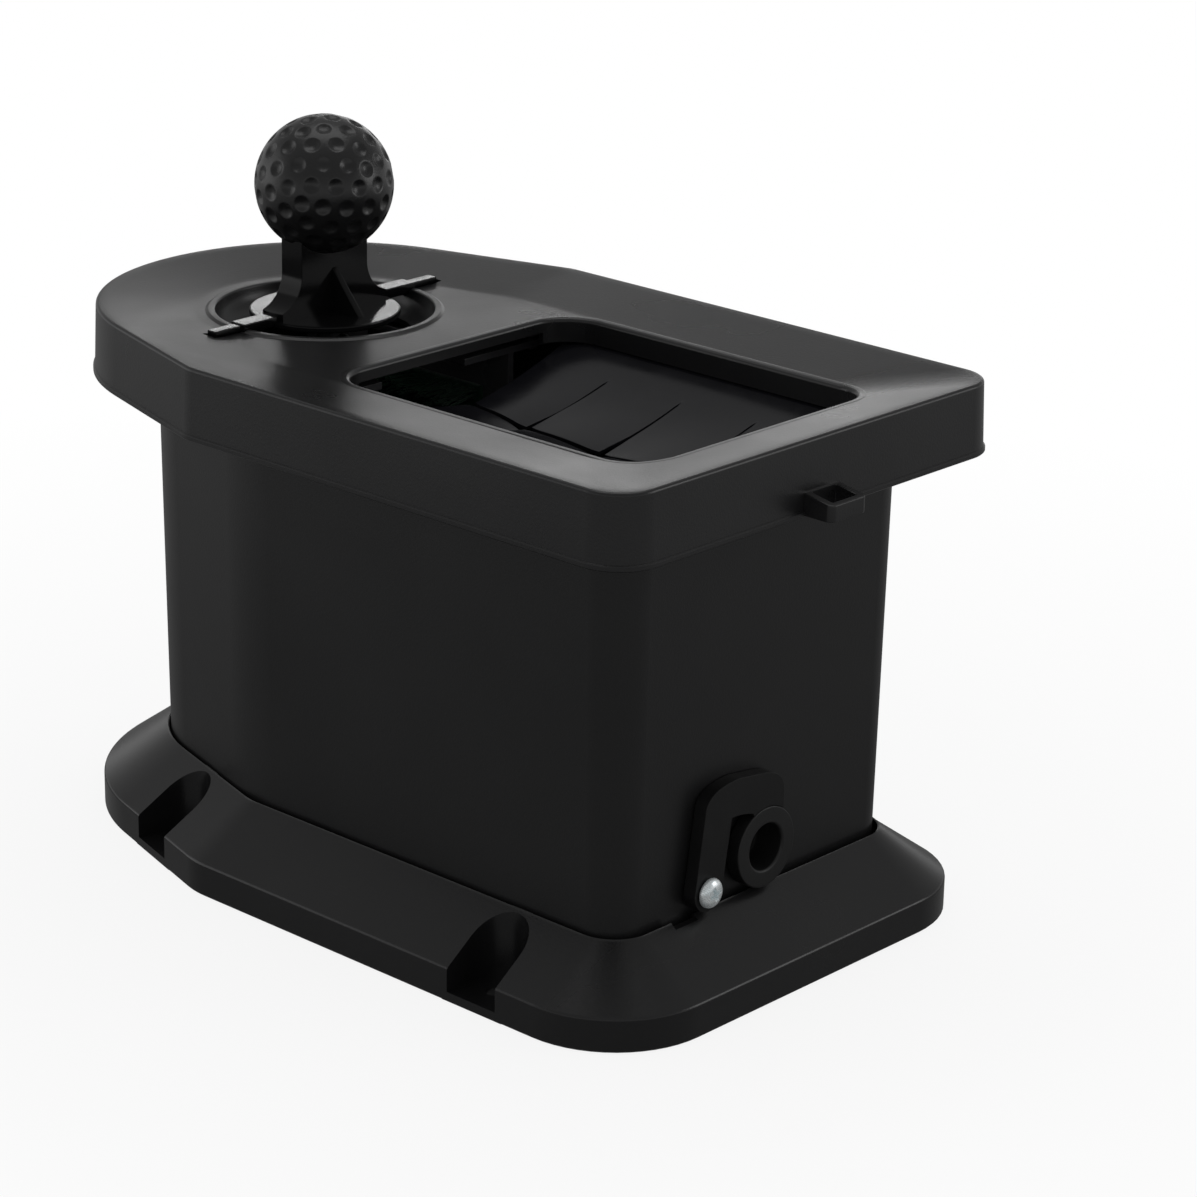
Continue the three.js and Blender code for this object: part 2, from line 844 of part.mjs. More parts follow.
function makeTank() {
  const beadTop = tankTop - tank.rimBeadDrop;
  const beadBottom = beadTop - tank.rimBeadHeight;
  const shell = loft([
    tankRing(tank.bottom, tank.footChamfer),
    tankRing(tank.bottom + tank.footChamfer),
    tankRing(beadBottom),
    tankRing(beadBottom, -tank.rimBead),
    tankRing(beadTop, -tank.rimBead),
    tankRing(beadTop + tank.rimBead),
    tankRing(tankTop),
    tankRing(tankTop, tank.wall),
    tankRing(tankFloor, tank.wall),
  ]);
  const front = tankFrontAt(drain.height);
  const insideFront = front - tank.wall;
  const drainBoss = cylinderX(drain.bossRadius, insideFront - drain.bossDepth, front - tank.wall / 2,
    drain.y, drain.height, plug.sides);
  const drainHole = cylinderX(drain.holeRadius, insideFront - drain.bossDepth - overrun, front + overrun,
    drain.y, drain.height, plug.sides);
  const bossEnd = insideFront - strapScrew.bossDepth;
  const screwBoss = cylinderX(strapScrew.bossRadius, bossEnd, front - tank.wall / 2,
    strap.footY, strap.footZ, strapScrew.sides);
  const screwHole = cylinderX(strapScrew.shankRadius + clearance, bossEnd + tank.wall,
    front + overrun, strap.footY, strap.footZ, strapScrew.sides);
  const screwBosses = tankScrewPlaces().map((place) => {
    return cylinderZ(tankScrew.bossRadius, tankFloor - tank.floor / 2, tankFloor + tankScrew.bossHeight,
      place.x, place.y, tankScrew.sides);
  });
  const screwHoles = tankScrewPlaces().map((place) => {
    return cylinderZ(tankScrew.shankRadius + clearance, tank.bottom - overrun,
      tankFloor + tankScrew.bossHeight - tank.floor, place.x, place.y, tankScrew.sides);
  });
  const rails = [-1, 1].map((side) => {
    const near = side * (clubBrush.halfWidth + clearance);
    const far = side * (clubBrush.halfWidth + clearance + clubBrush.railWidth);
    return block(clubBrush.rearX, clubBrush.frontX, Math.min(near, far), Math.max(near, far),
      tankFloor - tank.floor / 2, tankFloor + clubBrush.railHeight);
  });
  return joined([shell, drainBoss, screwBoss, ...screwBosses, ...rails])
    .subtract(joined([drainHole, screwHole, ...screwHoles]));
}

function tankScrewPlaces() {
  const y = tankHalfWidthAt(tank.bottom) - tankScrew.wallDistance;
  return bothSides([{ x: tankScrew.frontX, y }, { x: tankScrew.rearX, y }]);
}

// Base

function baseShell() {
  const rise = (base.slopeTop - base.rimHeight) / base.slopeInset;
  const surface = (inset) => base.rimHeight + rise * inset;
  const drop = base.wall * Math.sqrt(1 + rise * rise);
  const collarOuter = base.slopeInset - base.wall;
  const ring = (inset, z) => planRing(basePlan, inset, z);
  return loft([
    ring(0, 0),
    ring(0, base.rimHeight),
    ring(base.slopeInset, base.slopeTop),
    ring(base.slopeInset, base.ledgeTop),
    ring(base.ledgeInset, base.ledgeTop),
    ring(base.ledgeInset, base.ledgeBottom),
    ring(collarOuter, base.ledgeBottom),
    ring(collarOuter, surface(collarOuter) - drop),
    ring(base.wall, surface(base.wall) - drop),
    ring(base.wall, 0),
  ], true);
}

// The space under the base's outer skin, up to the collar's inner face.
function baseEnvelope() {
  const ring = (inset, z) => planRing(basePlan, inset, z);
  const outer = loft([ring(0, 0), ring(0, base.rimHeight), ring(base.slopeInset, base.slopeTop)]);
  const inside = loft([
    ring(base.slopeInset, -overrun),
    ring(base.slopeInset, base.slopeTop + overrun),
  ]);
  return outer.subtract(inside);
}

// Where each notch meets the rim, and the direction that it runs in.
function notchPlaces() {
  const vertex = vertexX(basePlan.rearRadius, basePlan.halfWidth);
  const rearY = basePlan.halfWidth - (vertex - notch.rearX) * Math.tan(taper);
  return [-1, 1].flatMap((side) => [
    { x: notch.frontX, y: side * basePlan.halfWidth, inward: -side * (Math.PI / 2) },
    { x: notch.rearX, y: side * rearY, inward: -side * (Math.PI / 2 - taper) },
  ]);
}

// A slot with a round inner end, drawn along its own X and turned into place.
function notchSolid(place, radius, z0, z1) {
  const centre = notch.reach - notch.radius;
  const mouth = -2 * notch.radius;
  const slot = new THREE.Shape();
  slot.moveTo(mouth, -radius);
  slot.lineTo(centre, -radius);
  slot.absarc(centre, 0, radius, -Math.PI / 2, Math.PI / 2);
  slot.lineTo(mouth, radius);
  const plate = new THREE.ExtrudeGeometry(slot, {
    depth: z1 - z0,
    bevelEnabled: false,
    curveSegments: notch.arcSteps,
  });
  plate.rotateZ(place.inward);
  plate.translate(place.x, place.y, z0);
  return solidOf(plate);
}

function notchScrewHole(place) {
  const along = notch.reach - notch.radius;
  const x = place.x + along * Math.cos(place.inward);
  const y = place.y + along * Math.sin(place.inward);
  return cylinderZ(notch.screwHoleRadius, -overrun, notch.floor + overrun, x, y, tankScrew.sides);
}

function makeBase() {
  const envelope = baseEnvelope();
  const places = notchPlaces();
  const walls = places.map((place) => {
    return notchSolid(place, notch.radius + notch.wall, 0, base.slopeTop).intersect(envelope);
  });
  const wells = places.map((place) => {
    return notchSolid(place, notch.radius, notch.floor, base.slopeTop + overrun);
  });
  const ledgeHoles = tankScrewPlaces().map((place) => {
    return cylinderZ(tankScrew.shankRadius + clearance, base.ledgeBottom - overrun, base.ledgeTop + overrun,
      place.x, place.y, tankScrew.sides);
  });
  const front = basePlan.frontX - base.slopeInset;
  const collarNotch = block(front - base.wall, front + base.wall + base.ledgeTop,
    collarGap.from, collarGap.to, base.slopeTop - collarGap.depth, base.slopeTop + overrun);
  return joined([baseShell(), ...walls])
    .subtract(joined([...wells, ...places.map(notchScrewHole), ...ledgeHoles, collarNotch]));
}

// Rocking handle

// Middles of the dimples: the corners of a subdivided icosahedron and the middles of its faces.
function dimpleMiddles() {
  const frame = solidOf(new THREE.IcosahedronGeometry(1, knob.dimpleDetail)).getMesh();
  const corners = [];
  for (let i = 0; i < frame.vertProperties.length; i += 3) {
    corners.push(new THREE.Vector3().fromArray(frame.vertProperties, i));
  }
  const faces = [];
  for (let i = 0; i < frame.triVerts.length; i += 3) {
    const [a, b, c] = [0, 1, 2].map((k) => corners[frame.triVerts[i + k]]);
    faces.push(a.clone().add(b).add(c));
  }
  return [...corners, ...faces].map((middle) => middle.clone().normalize());
}

// Golf ball as a skin stretched over each dimple's rim and the lands between them, with the
// dimple's middle pressed in.
function dimpledBall() {
  const spread = Math.asin(knob.dimpleRadius / knob.radius);
  const directions = [];
  for (const middle of dimpleMiddles()) {
    const steep = Math.abs(middle.z) > Math.SQRT1_2;
    const helper = steep ? new THREE.Vector3(1, 0, 0) : new THREE.Vector3(0, 0, 1);
    const across = new THREE.Vector3().crossVectors(middle, helper).normalize();
    directions.push({ direction: middle, radius: knob.radius - knob.dimpleDepth });
    for (let k = 0; k < knob.dimpleSides; k += 1) {
      const turned = across.clone().applyAxisAngle(middle, (2 * Math.PI * k) / knob.dimpleSides);
      const direction = middle.clone().multiplyScalar(Math.cos(spread))
        .addScaledVector(turned, Math.sin(spread));
      directions.push({ direction, radius: knob.radius });
    }
  }
  const radiusOf = new Map(directions.map(({ direction, radius }) => [direction, radius]));
  const hull = new ConvexHull().setFromPoints(directions.map(({ direction }) => direction));
  const positions = hull.faces.flatMap((face) => {
    const edges = [face.edge, face.edge.next, face.edge.next.next];
    return edges.flatMap((edge) => {
      const point = edge.head().point;
      return point.clone().multiplyScalar(radiusOf.get(point)).toArray();
    });
  });
  const geometry = new THREE.BufferGeometry();
  geometry.setAttribute('position', new THREE.Float32BufferAttribute(positions, 3));
  geometry.translate(plan.rearCentreX, 0, knobCentre);
  return solidOf(geometry);
}

function bladeTop() {
  const halfBlade = yoke.bladeWidth / 2;
  return knobCentre - Math.sqrt(knob.radius ** 2 - halfBlade ** 2) + yoke.socketDepth;
}

// Hollow ball with a core inside it that is socketed for the blade and vented into the hollow.
function makeKnob() {
  const x = plan.rearCentreX;
  const halfX = yoke.bladeThickness / 2 + clearance;
  const halfY = yoke.bladeWidth / 2 + clearance;
  const bottom = knobCentre - knob.radius - overrun;
  const socketTop = bladeTop() + clearance;
  const socket = block(x - halfX, x + halfX, -halfY, halfY, bottom, socketTop);
  const core = block(x - halfX - knob.coreWall, x + halfX + knob.coreWall, -halfY - knob.coreWall,
    halfY + knob.coreWall, bottom, socketTop + knob.coreWall);
  const vent = cylinderZ(knob.ventRadius, socketTop - overrun, socketTop + knob.coreWall + overrun,
    x, 0, axle.sides);
  const inner = knob.radius - knob.wall;
  const inside = new THREE.SphereGeometry(inner, knob.hollowSides, knob.hollowSides / 2);
  inside.translate(x, 0, knobCentre);
  return dimpledBall().subtract(solidOf(inside).subtract(core)).subtract(socket.add(vent));
}

// Upright of a given half width that flares to its foot in a quarter round on both sides.
function flaredShape(middle, half, radius, roundFoot) {
  const foot = axleHeight - yoke.discRise - yoke.discThickness;
  const flareTop = roundFoot + radius;
  const root = half + radius;
  const shape = new THREE.Shape();
  shape.moveTo(middle - half, bladeTop());
  shape.lineTo(middle - half, flareTop);
  shape.absarc(middle - root, flareTop, radius, 0, -Math.PI / 2, true);
  shape.lineTo(middle - root, foot);
  shape.lineTo(middle + root, foot);
  shape.lineTo(middle + root, roundFoot);
  shape.absarc(middle + root, flareTop, radius, -Math.PI / 2, -Math.PI, true);
  shape.lineTo(middle + half, bladeTop());
  return shape;
}

// Blade of the handle, which spreads like a bell over the disc.
function handleBlade() {
  const x = plan.rearCentreX;
  const reachX = yoke.bladeThickness / 2 + yoke.bellRadius;
  const reachY = yoke.bladeWidth / 2 + yoke.flareRadius;
  const discTop = axleHeight - yoke.discRise;
  const wide = flaredShape(0, yoke.bladeWidth / 2, yoke.flareRadius, axleHeight + axle.thickRadius / 2);
  const deep = flaredShape(x, yoke.bladeThickness / 2, yoke.bellRadius, discTop + yoke.bellEdge);
  const within = cylinderZ(yoke.discRadius - yoke.discThickness / 2, discTop - yoke.discThickness,
    bladeTop() + overrun, x, 0, recess.sides);
  return plateX(wide, x - reachX, x + reachX, yoke.flareSteps)
    .intersect(plateY(deep, -reachY, reachY, yoke.flareSteps))
    .intersect(within);
}

function gusset(direction) {
  const face = plan.rearCentreX + (direction * yoke.bladeThickness) / 2;
  const foot = axleHeight - yoke.discRise - yoke.discThickness / 2;
  const shape = new THREE.Shape();
  shape.moveTo(face - (direction * yoke.bladeThickness) / 4, foot);
  shape.lineTo(face + direction * yoke.gussetReach, foot);
  shape.lineTo(face, foot + yoke.gussetHeight + yoke.discThickness / 2);
  shape.lineTo(face - (direction * yoke.bladeThickness) / 4, foot + yoke.gussetHeight);
  shape.closePath();
  return plateY(shape, -yoke.gussetThickness / 2, yoke.gussetThickness / 2);
}

function paddleScrewHeights() {
  const middle = (axleHeight + tangBottom) / 2 - paddleScrew.headRadius;
  return [middle - paddleScrew.spacing / 2, middle + paddleScrew.spacing / 2];
}

// Trunnion bar along Y with a half-round underside and a flat top.
function trunnionBar(radius, end) {
  const x = plan.rearCentreX;
  const top = axleHeight + radius * yoke.barTopShare;
  const section = new THREE.Shape();
  section.moveTo(x + radius, top);
  section.lineTo(x - radius, top);
  section.absarc(x, axleHeight, radius, Math.PI, 2 * Math.PI);
  section.closePath();
  return plateY(section, -end, end, axle.sides / 2);
}

function makeYoke() {
  const x = plan.rearCentreX;
  const discTop = axleHeight - yoke.discRise;
  const blade = handleBlade();
  const discBottom = discTop - yoke.discThickness;
  const bevel = yoke.discThickness / 4;
  const disc = turnedZ([
    [0, discBottom],
    [yoke.discRadius - bevel, discBottom],
    [yoke.discRadius, discBottom + bevel],
    [yoke.discRadius, discTop - bevel],
    [yoke.discRadius - bevel, discTop],
    [0, discTop],
  ], x, 0, recess.sides);
  const thick = trunnionBar(axle.thickRadius, axle.thickEnd);
  const thin = trunnionBar(axle.thinRadius, axle.thinEnd);
  const halfTang = yoke.tangThickness / 2;
  const tang = block(x - halfTang, x + halfTang, -yoke.tangWidth / 2, yoke.tangWidth / 2,
    tangBottom, discTop - yoke.discThickness / 2);
  const holes = paddleScrewHeights().map((z) => {
    return cylinderX(paddleScrew.shankRadius + clearance, x - halfTang + 4 * clearance,
      x + halfTang + overrun, 0, z, paddleScrew.sides);
  });
  return joined([blade, disc, thick, thin, tang, gusset(-1), gusset(1)]).subtract(joined(holes));
}

// Ball paddle

// The saddle plate that is screwed to the yoke's tang, and the ribbed arm below it.
function paddleArm() {
  const x = plan.rearCentreX;
  const saddleTop = axleHeight - yoke.discRise - yoke.discThickness - 2 * clearance;
  const front = x + yoke.tangThickness / 2 + clearance;
  const half = paddle.armWidth / 2;
  const armTop = tangBottom - clearance;
  const armBottom = cradleHeight + cradleInner;
  const halfDepth = paddle.armDepth / 2;
  const plate = block(front, front + paddle.saddleWall, -half, half, armTop - paddle.saddleWall, saddleTop);
  const arm = block(x - halfDepth, front + paddle.saddleWall, -half, half, armBottom, armTop);
  const pocketHalf = half - paddle.armFlange;
  const pocketBottom = cradleHeight + cradleOuter + paddle.armFlange;
  const pocketTop = armTop - paddle.saddleWall;
  const rearPocket = block(x - halfDepth - overrun, x - paddle.armWeb / 2, -pocketHalf, pocketHalf,
    pocketBottom, pocketTop);
  const frontPocket = block(x + paddle.armWeb / 2, front + paddle.saddleWall + overrun,
    -pocketHalf, pocketHalf, pocketBottom, pocketTop);
  return plate.add(arm).subtract(rearPocket).subtract(frontPocket);
}

// Side view of the cradle: a ring with its mouth left open, drawn in X and Z.
function cradleShape(innerRadius, outerRadius) {
  const x = plan.rearCentreX;
  const shape = new THREE.Shape();
  shape.absarc(x, cradleHeight, outerRadius, paddle.mouthTo, 2 * Math.PI + paddle.mouthFrom);
  shape.absarc(x, cradleHeight, innerRadius, 2 * Math.PI + paddle.mouthFrom, paddle.mouthTo, true);
  shape.closePath();
  return shape;
}

function makePaddle() {
  const half = paddle.cradleWidth / 2;
  const steps = paddle.sides / 2;
  const x = plan.rearCentreX;
  const bed = plateY(cradleShape(cradleInner, cradleOuter), -half, half, steps);
  const lipFace = half - paddle.lipWidth;
  const lipInner = Math.sqrt(paddle.ballRadius ** 2 - lipFace ** 2) + paddle.lipPlay;
  const lips = [[-half, -lipFace], [lipFace, half]].map(([y0, y1]) => {
    return plateY(cradleShape(lipInner, cradleInner + paddle.cradleWall / 2), y0, y1, steps);
  });
  const pocket = cylinderY(cradleInner, -half - overrun, half + overrun, x, cradleHeight, paddle.sides);
  const drainSlots = paddle.drainSlotAngles.map((angle) => {
    const depth = 4 * paddle.cradleWall;
    const slot = new THREE.BoxGeometry(depth, paddle.drainSlotLength, paddle.drainSlotWidth);
    slot.translate(cradleOuter - paddle.cradleWall / 2, 0, 0);
    slot.rotateY(-angle);
    slot.translate(x, 0, cradleHeight);
    return solidOf(slot);
  });
  const screwHoles = paddleScrewHeights().map((z) => {
    return cylinderX(paddleScrew.shankRadius + clearance, x, x + 4 * yoke.tangThickness, 0, z,
      paddleScrew.sides);
  });
  return joined([paddleArm().subtract(pocket), bed, ...lips])
    .subtract(joined([...drainSlots, ...screwHoles]));
}

function makePaddleScrews() {
  const face = plan.rearCentreX + yoke.tangThickness / 2 + clearance + paddle.saddleWall + clearance;
  return paddleScrewHeights().map((z) => {
    const shank = cylinderX(paddleScrew.shankRadius, face - paddleScrew.shankLength, face + clearance,
      0, z, paddleScrew.sides);
    const head = cylinderX(paddleScrew.headRadius, face, face + paddleScrew.headHeight, 0, z,
      paddleScrew.sides, paddleScrew.headRadius * headTaperShare);
    return shank.add(head);
  });
}

// Brushes

function carrierOutline(side) {
  const halfWidth = tankHalfWidthAt(shelfBottom) - tank.wall - carrier.wallGap;
  const radius = tankPlan.rearRadius - tankInsetAt(shelfBottom) - tank.wall - carrier.wallGap;
  const rearY = Math.sqrt(radius ** 2 - (carrierRearX - plan.rearCentreX) ** 2);
  const shape = new THREE.Shape();
  shape.moveTo(carrier.frontX, side * carrier.innerY);
  shape.lineTo(carrier.frontX, side * halfWidth);
  shape.lineTo(vertexX(radius, halfWidth), side * halfWidth);
  shape.lineTo(plan.rearCentreX - radius * Math.sin(taper), side * radius * Math.cos(taper));
  shape.lineTo(carrierRearX, side * rearY);
  shape.lineTo(carrierRearX, side * carrier.innerY);
  shape.closePath();
  return shape;
}

function makeCarrier(side) {
  const shelfTop = shelfBottom + carrier.shelfThickness;
  const relief = cylinderZ(carrier.discRelief, shelfBottom - overrun, shelfTop + overrun,
    plan.rearCentreX, 0, recess.sides);
  const inner = side * carrier.backY;
  const outer = side * (carrier.backY + carrier.backThickness);
  const back = block(carrierRearX, carrier.frontX, Math.min(inner, outer), Math.max(inner, outer),
    carrier.backBottom, shelfBottom + clearance);
  const ribs = ribShares.map(([share, reach]) => {
    const x = carrierRearX + (carrier.frontX - carrierRearX) * share;
    const face = side * (carrier.backY + carrier.backThickness / 2);
    const end = side * (carrier.backY + carrier.backThickness + reach);
    return block(x - carrier.ribThickness / 2, x + carrier.ribThickness / 2, Math.min(face, end),
      Math.max(face, end), carrier.backBottom, shelfBottom + clearance);
  });
  const holes = carrierScrewPlaces.map((place) => {
    return cylinderZ(carrierScrew.shankRadius + clearance, shelfBottom - overrun, shelfTop + overrun,
      place.x, side * place.y, carrierScrew.sides);
  });
  const shelf = plateZ(carrierOutline(side), shelfBottom, shelfTop).subtract(relief);
  return joined([shelf, back, ...ribs]).subtract(joined(holes));
}

// Where every other row of strands starts in its first column
const rowShares = [0.25, 0.75];

// Rows of tapering strands that rise from a pad, drawn with the pad's face at y = 0.
function strandGrid(x0, x1, z0, z1, columns, rows, length) {
  const strands = [];
  for (let row = 0; row < rows; row += 1) {
    for (let column = 0; column < columns; column += 1) {
      const x = x0 + ((x1 - x0) * (column + rowShares[row % 2])) / columns;
      const z = z0 + ((z1 - z0) * (row + 1 / 2)) / rows;
      const strand = new THREE.CylinderGeometry(bristle.radius * bristle.tipRadiusShare, bristle.radius,
        length + bristle.padThickness / 2, bristle.sides);
      strand.translate(x, (length - bristle.padThickness / 2) / 2, z);
      strands.push(solidOf(strand));
    }
  }
  return strands;
}

function mergedStrands(strands) {
  return wasm.Manifold.union(strands);
}

function makeBallBristles(side) {
  const length = carrier.backY - clearance - bristle.padThickness - bristle.tipY;
  const top = shelfBottom - bristle.topGap;
  const rearX = carrierRearX + bristle.rearMargin;
  const strands = mergedStrands(strandGrid(rearX + bristle.margin, bristle.frontX - bristle.margin,
    bristle.bottom + bristle.margin, top - bristle.margin, bristle.columns, bristle.rows, length));
  const pad = block(rearX, bristle.frontX, -bristle.padThickness, 0, bristle.bottom, top);
  const geometry = geometryOf(pad.add(strands));
  geometry.scale(1, -side, 1);
  geometry.translate(0, side * (carrier.backY - clearance - bristle.padThickness), 0);
  return solidOf(geometry);
}

function makeClubBrush() {
  const strandX = clubBrush.frontX - clubBrush.margin;
  const strandY = clubBrush.halfWidth - clubBrush.margin;
  const strands = mergedStrands(strandGrid(clubBrush.rearX + clubBrush.margin, strandX,
    -strandY, strandY, clubBrush.columns, clubBrush.rows, clubBrush.length));
  const pad = block(clubBrush.rearX, clubBrush.frontX, -clubBrush.padThickness, 0,
    -clubBrush.halfWidth, clubBrush.halfWidth);
  const geometry = geometryOf(pad.add(strands));
  geometry.rotateX(Math.PI / 2);
  geometry.translate(0, 0, tankFloor + clearance + clubBrush.padThickness);
  return solidOf(geometry);
}

// Splash flaps

// Height of the flap's top face: flat at the root, then falling to the tip in a soft belly,
// with both ends of the row held higher than its middle.
function flapTop(along, across) {
  const rootTop = flangeBottom - flap.rootRise;
  const fall = flap.tipDrop - flap.endLift * along * along;
  const belly = flap.bellyShare * flap.tipDrop * Math.sin(Math.PI * across);
  return rootTop - fall * across - belly;
}

function makeFlap(side) {
  const rootY = openingHalfWidth;
  const outerY = openingHalfWidth + flap.rootWidth;
  const middle = (flap.rootRearX + flap.rootFrontX) / 2;
  const halfLength = (flap.rootFrontX - flap.rootRearX) / 2;
  const rings = Array.from({ length: flap.stepsAlong + 1 }, (_, i) => {
    const along = -1 + (2 * i) / flap.stepsAlong;
    const section = [new THREE.Vector3(middle + along * halfLength, side * outerY, flapTop(along, 0))];
    for (let j = 0; j <= flap.stepsAcross; j += 1) {
      const across = j / flap.stepsAcross;
      const x = middle + along * (halfLength - flap.tipTaper * across);
      const y = rootY - (rootY - flap.tipGap) * across;
      section.push(new THREE.Vector3(x, side * y, flapTop(along, across)));
    }
    const under = section.map((p) => new THREE.Vector3(p.x, p.y, p.z - flap.thickness)).reverse();
    return [...section, ...under];
  });
  const slits = [-1, 0, 1].map((step) => {
    const x = middle + step * flap.slitPitch;
    const slit = new THREE.Shape();
    const mouthY = side * (flap.tipGap - overrun);
    const endY = side * (flap.tipGap + flap.slitLength);
    slit.moveTo(x - flap.slitMouth / 2, mouthY);
    slit.lineTo(x + flap.slitMouth / 2, mouthY);
    slit.lineTo(x + flap.slitEnd / 2, endY);
    slit.lineTo(x - flap.slitEnd / 2, endY);
    slit.closePath();
    return plateZ(slit, flangeBottom - 4 * flap.tipDrop, flangeBottom);
  });
  const holes = flapScrewPlaces().map((place) => {
    return cylinderZ(flapScrew.shankRadius + clearance, flangeBottom - 2 * flap.tipDrop, flangeBottom,
      place.x, side * place.y, flapScrew.sides);
  });
  return loft(rings).subtract(joined([...slits, ...holes]));
}

function stripTop() {
  return flangeBottom - flap.rootRise - flap.thickness - clearance;
}

function makeFlapStrip(side) {
  const middleY = openingHalfWidth + flap.rootWidth / 2;
  const y0 = side * middleY - flapStrip.width / 2;
  const y1 = side * middleY + flapStrip.width / 2;
  const strip = block(flap.rootRearX + flapStrip.endMargin, flap.rootFrontX - flapStrip.endMargin, y0, y1,
    stripTop() - flapStrip.thickness, stripTop());
  const holes = flapScrewPlaces().map((place) => {
    return cylinderZ(flapScrew.shankRadius + clearance, stripTop() - flapStrip.thickness - overrun,
      stripTop() + overrun, place.x, side * place.y, flapScrew.sides);
  });
  return strip.subtract(joined(holes));
}

// Screw that comes up from below: head under a face, shank rising through it.
function risingScrew(place, face, screw) {
  const seat = face - clearance;
  const head = cylinderZ(screw.headRadius * headTaperShare, seat - screw.headHeight, seat, place.x, place.y,
    screw.sides, screw.headRadius);
  const shank = cylinderZ(screw.shankRadius, seat - screw.headHeight / 2, seat + screw.shankLength,
    place.x, place.y, screw.sides);
  return head.add(shank);
}

function bothSides(places) {
  return places.flatMap((place) => [-1, 1].map((side) => ({ x: place.x, y: side * place.y })));
}

function makeFlapScrews() {
  const face = stripTop() - flapStrip.thickness;
  return bothSides(flapScrewPlaces()).map((place) => risingScrew(place, face, flapScrew));
}

function makeCarrierScrews() {
  return bothSides(carrierScrewPlaces).map((place) => risingScrew(place, shelfBottom, carrierScrew));
}

function makeTankScrews() {
  return tankScrewPlaces().map((place) => risingScrew(place, base.ledgeBottom, tankScrew));
}

// Drain plug and its strap

function plugFace() {
  return tankFrontAt(drain.height + plug.ringRadius) + clearance;
}

function strapFace() {
  return tankFrontAt(strap.topZ) + clearance;
}

function makePlug() {
  const face = plugFace();
  const outer = face + plug.ringThickness;
  const stem = drain.holeRadius - clearance;
  const end = face - plug.stemLength;
  return turnedX([
    [0, end],
    [stem - plug.stemTaper - plug.ringEdge, end],
    [stem - plug.stemTaper, end + plug.ringEdge],
    [stem, face],
    [plug.ringRadius - plug.ringEdge, face],
    [plug.ringRadius, face + plug.ringEdge],
    [plug.ringRadius, outer - plug.ringEdge],
    [plug.ringRadius - plug.ringEdge, outer],
    [plug.cupRadius + plug.ringEdge, outer],
    [plug.cupRadius, outer - plug.ringEdge],
    [plug.cupRadius, outer - plug.cupDepth],
    [0, outer - plug.cupDepth],
  ], drain.y, drain.height, plug.sides);
}

// Strap outline seen from the front, drawn in Y and Z: a foot round the screw, a leg, an arch
// over the top and a short leg that runs down into the plug's ring.
function strapShape() {
  const footLeft = strap.footY - strap.footRadius;
  const footRight = strap.footY + strap.footRadius;
  const shape = new THREE.Shape();
  shape.moveTo(footLeft, strap.footZ);
  shape.lineTo(strap.shoulderY, strap.shoulderZ);
  shape.quadraticCurveTo(strap.shoulderY, strap.topZ, strap.shoulderY + strap.shoulderBend, strap.topZ);
  const cornerTop = strap.topZ - 2 * strap.archDrop;
  shape.lineTo(strap.rightY - strap.bend, strap.topZ - strap.archDrop);
  shape.quadraticCurveTo(strap.rightY, cornerTop, strap.rightY, strap.topZ - strap.bend);
  shape.lineTo(strap.rightY, drain.height);
  shape.lineTo(drain.y, drain.height);
  shape.lineTo(drain.y - plug.ringRadius / 2, strap.innerTopZ - strap.archDrop);
  shape.quadraticCurveTo(strap.innerLeftY + strap.bend / 2, strap.innerTopZ,
    strap.innerLeftY, strap.innerTopZ);
  shape.lineTo(footRight, strap.footZ);
  shape.absarc(strap.footY, strap.footZ, strap.footRadius, 0, -Math.PI, true);
  return shape;
}

function makeStrap() {
  const inner = strapFace();
  const outer = inner + strap.thickness;
  const ringSpace = cylinderX(plug.ringRadius + clearance, inner - overrun, outer + overrun,
    drain.y, drain.height, plug.sides);
  const screwHole = cylinderX(strapScrew.shankRadius + clearance, inner - overrun, outer + overrun,
    strap.footY, strap.footZ, strapScrew.sides);
  return plateX(strapShape(), inner, outer, strap.bendSteps).subtract(ringSpace).subtract(screwHole);
}

function makeStrapScrew() {
  const face = strapFace() + strap.thickness + clearance;
  return turnedX([
    [0, face - strapScrew.shankLength],
    [strapScrew.shankRadius, face - strapScrew.shankLength],
    [strapScrew.shankRadius, face],
    [strapScrew.headRadius, face],
    [strapScrew.headRadius, face + strapScrew.headHeight - 2 * strapScrew.edge],
    [strapScrew.headRadius - strapScrew.edge, face + strapScrew.headHeight - strapScrew.edge / 2],
    [strapScrew.headRadius / 2, face + strapScrew.headHeight],
    [0, face + strapScrew.headHeight],
  ], strap.footY, strap.footZ, strapScrew.sides);
}

// Materials

const blackPlastic = { color: 0x1b1b1d, roughness: 0.42, metalness: 0 };
const knobPlastic = { color: 0x1a1a1b, roughness: 0.6, metalness: 0 };
const blackRubber = { color: 0x151516, roughness: 0.75, metalness: 0 };
const flapRubber = { color: 0x141417, roughness: 0.3, metalness: 0 };
const greenNylon = { color: 0x1e7a3c, roughness: 0.5, metalness: 0 };
const greyPlastic = { color: 0x232326, roughness: 0.5, metalness: 0 };
const zinc = { color: 0xc4c8cc, roughness: 0.3, metalness: 1 };
const steel = { color: 0x9a9da0, roughness: 0.35, metalness: 1 };

function named(name, solid, finish) {
  const mesh = new THREE.Mesh(geometryOf(solid), new THREE.MeshStandardMaterial(finish));
  mesh.name = name;
  return mesh;
}

function numbered(name, solids, finish) {
  return solids.map((solid, i) => named(`${name}_${i + 1}`, solid, finish));
}

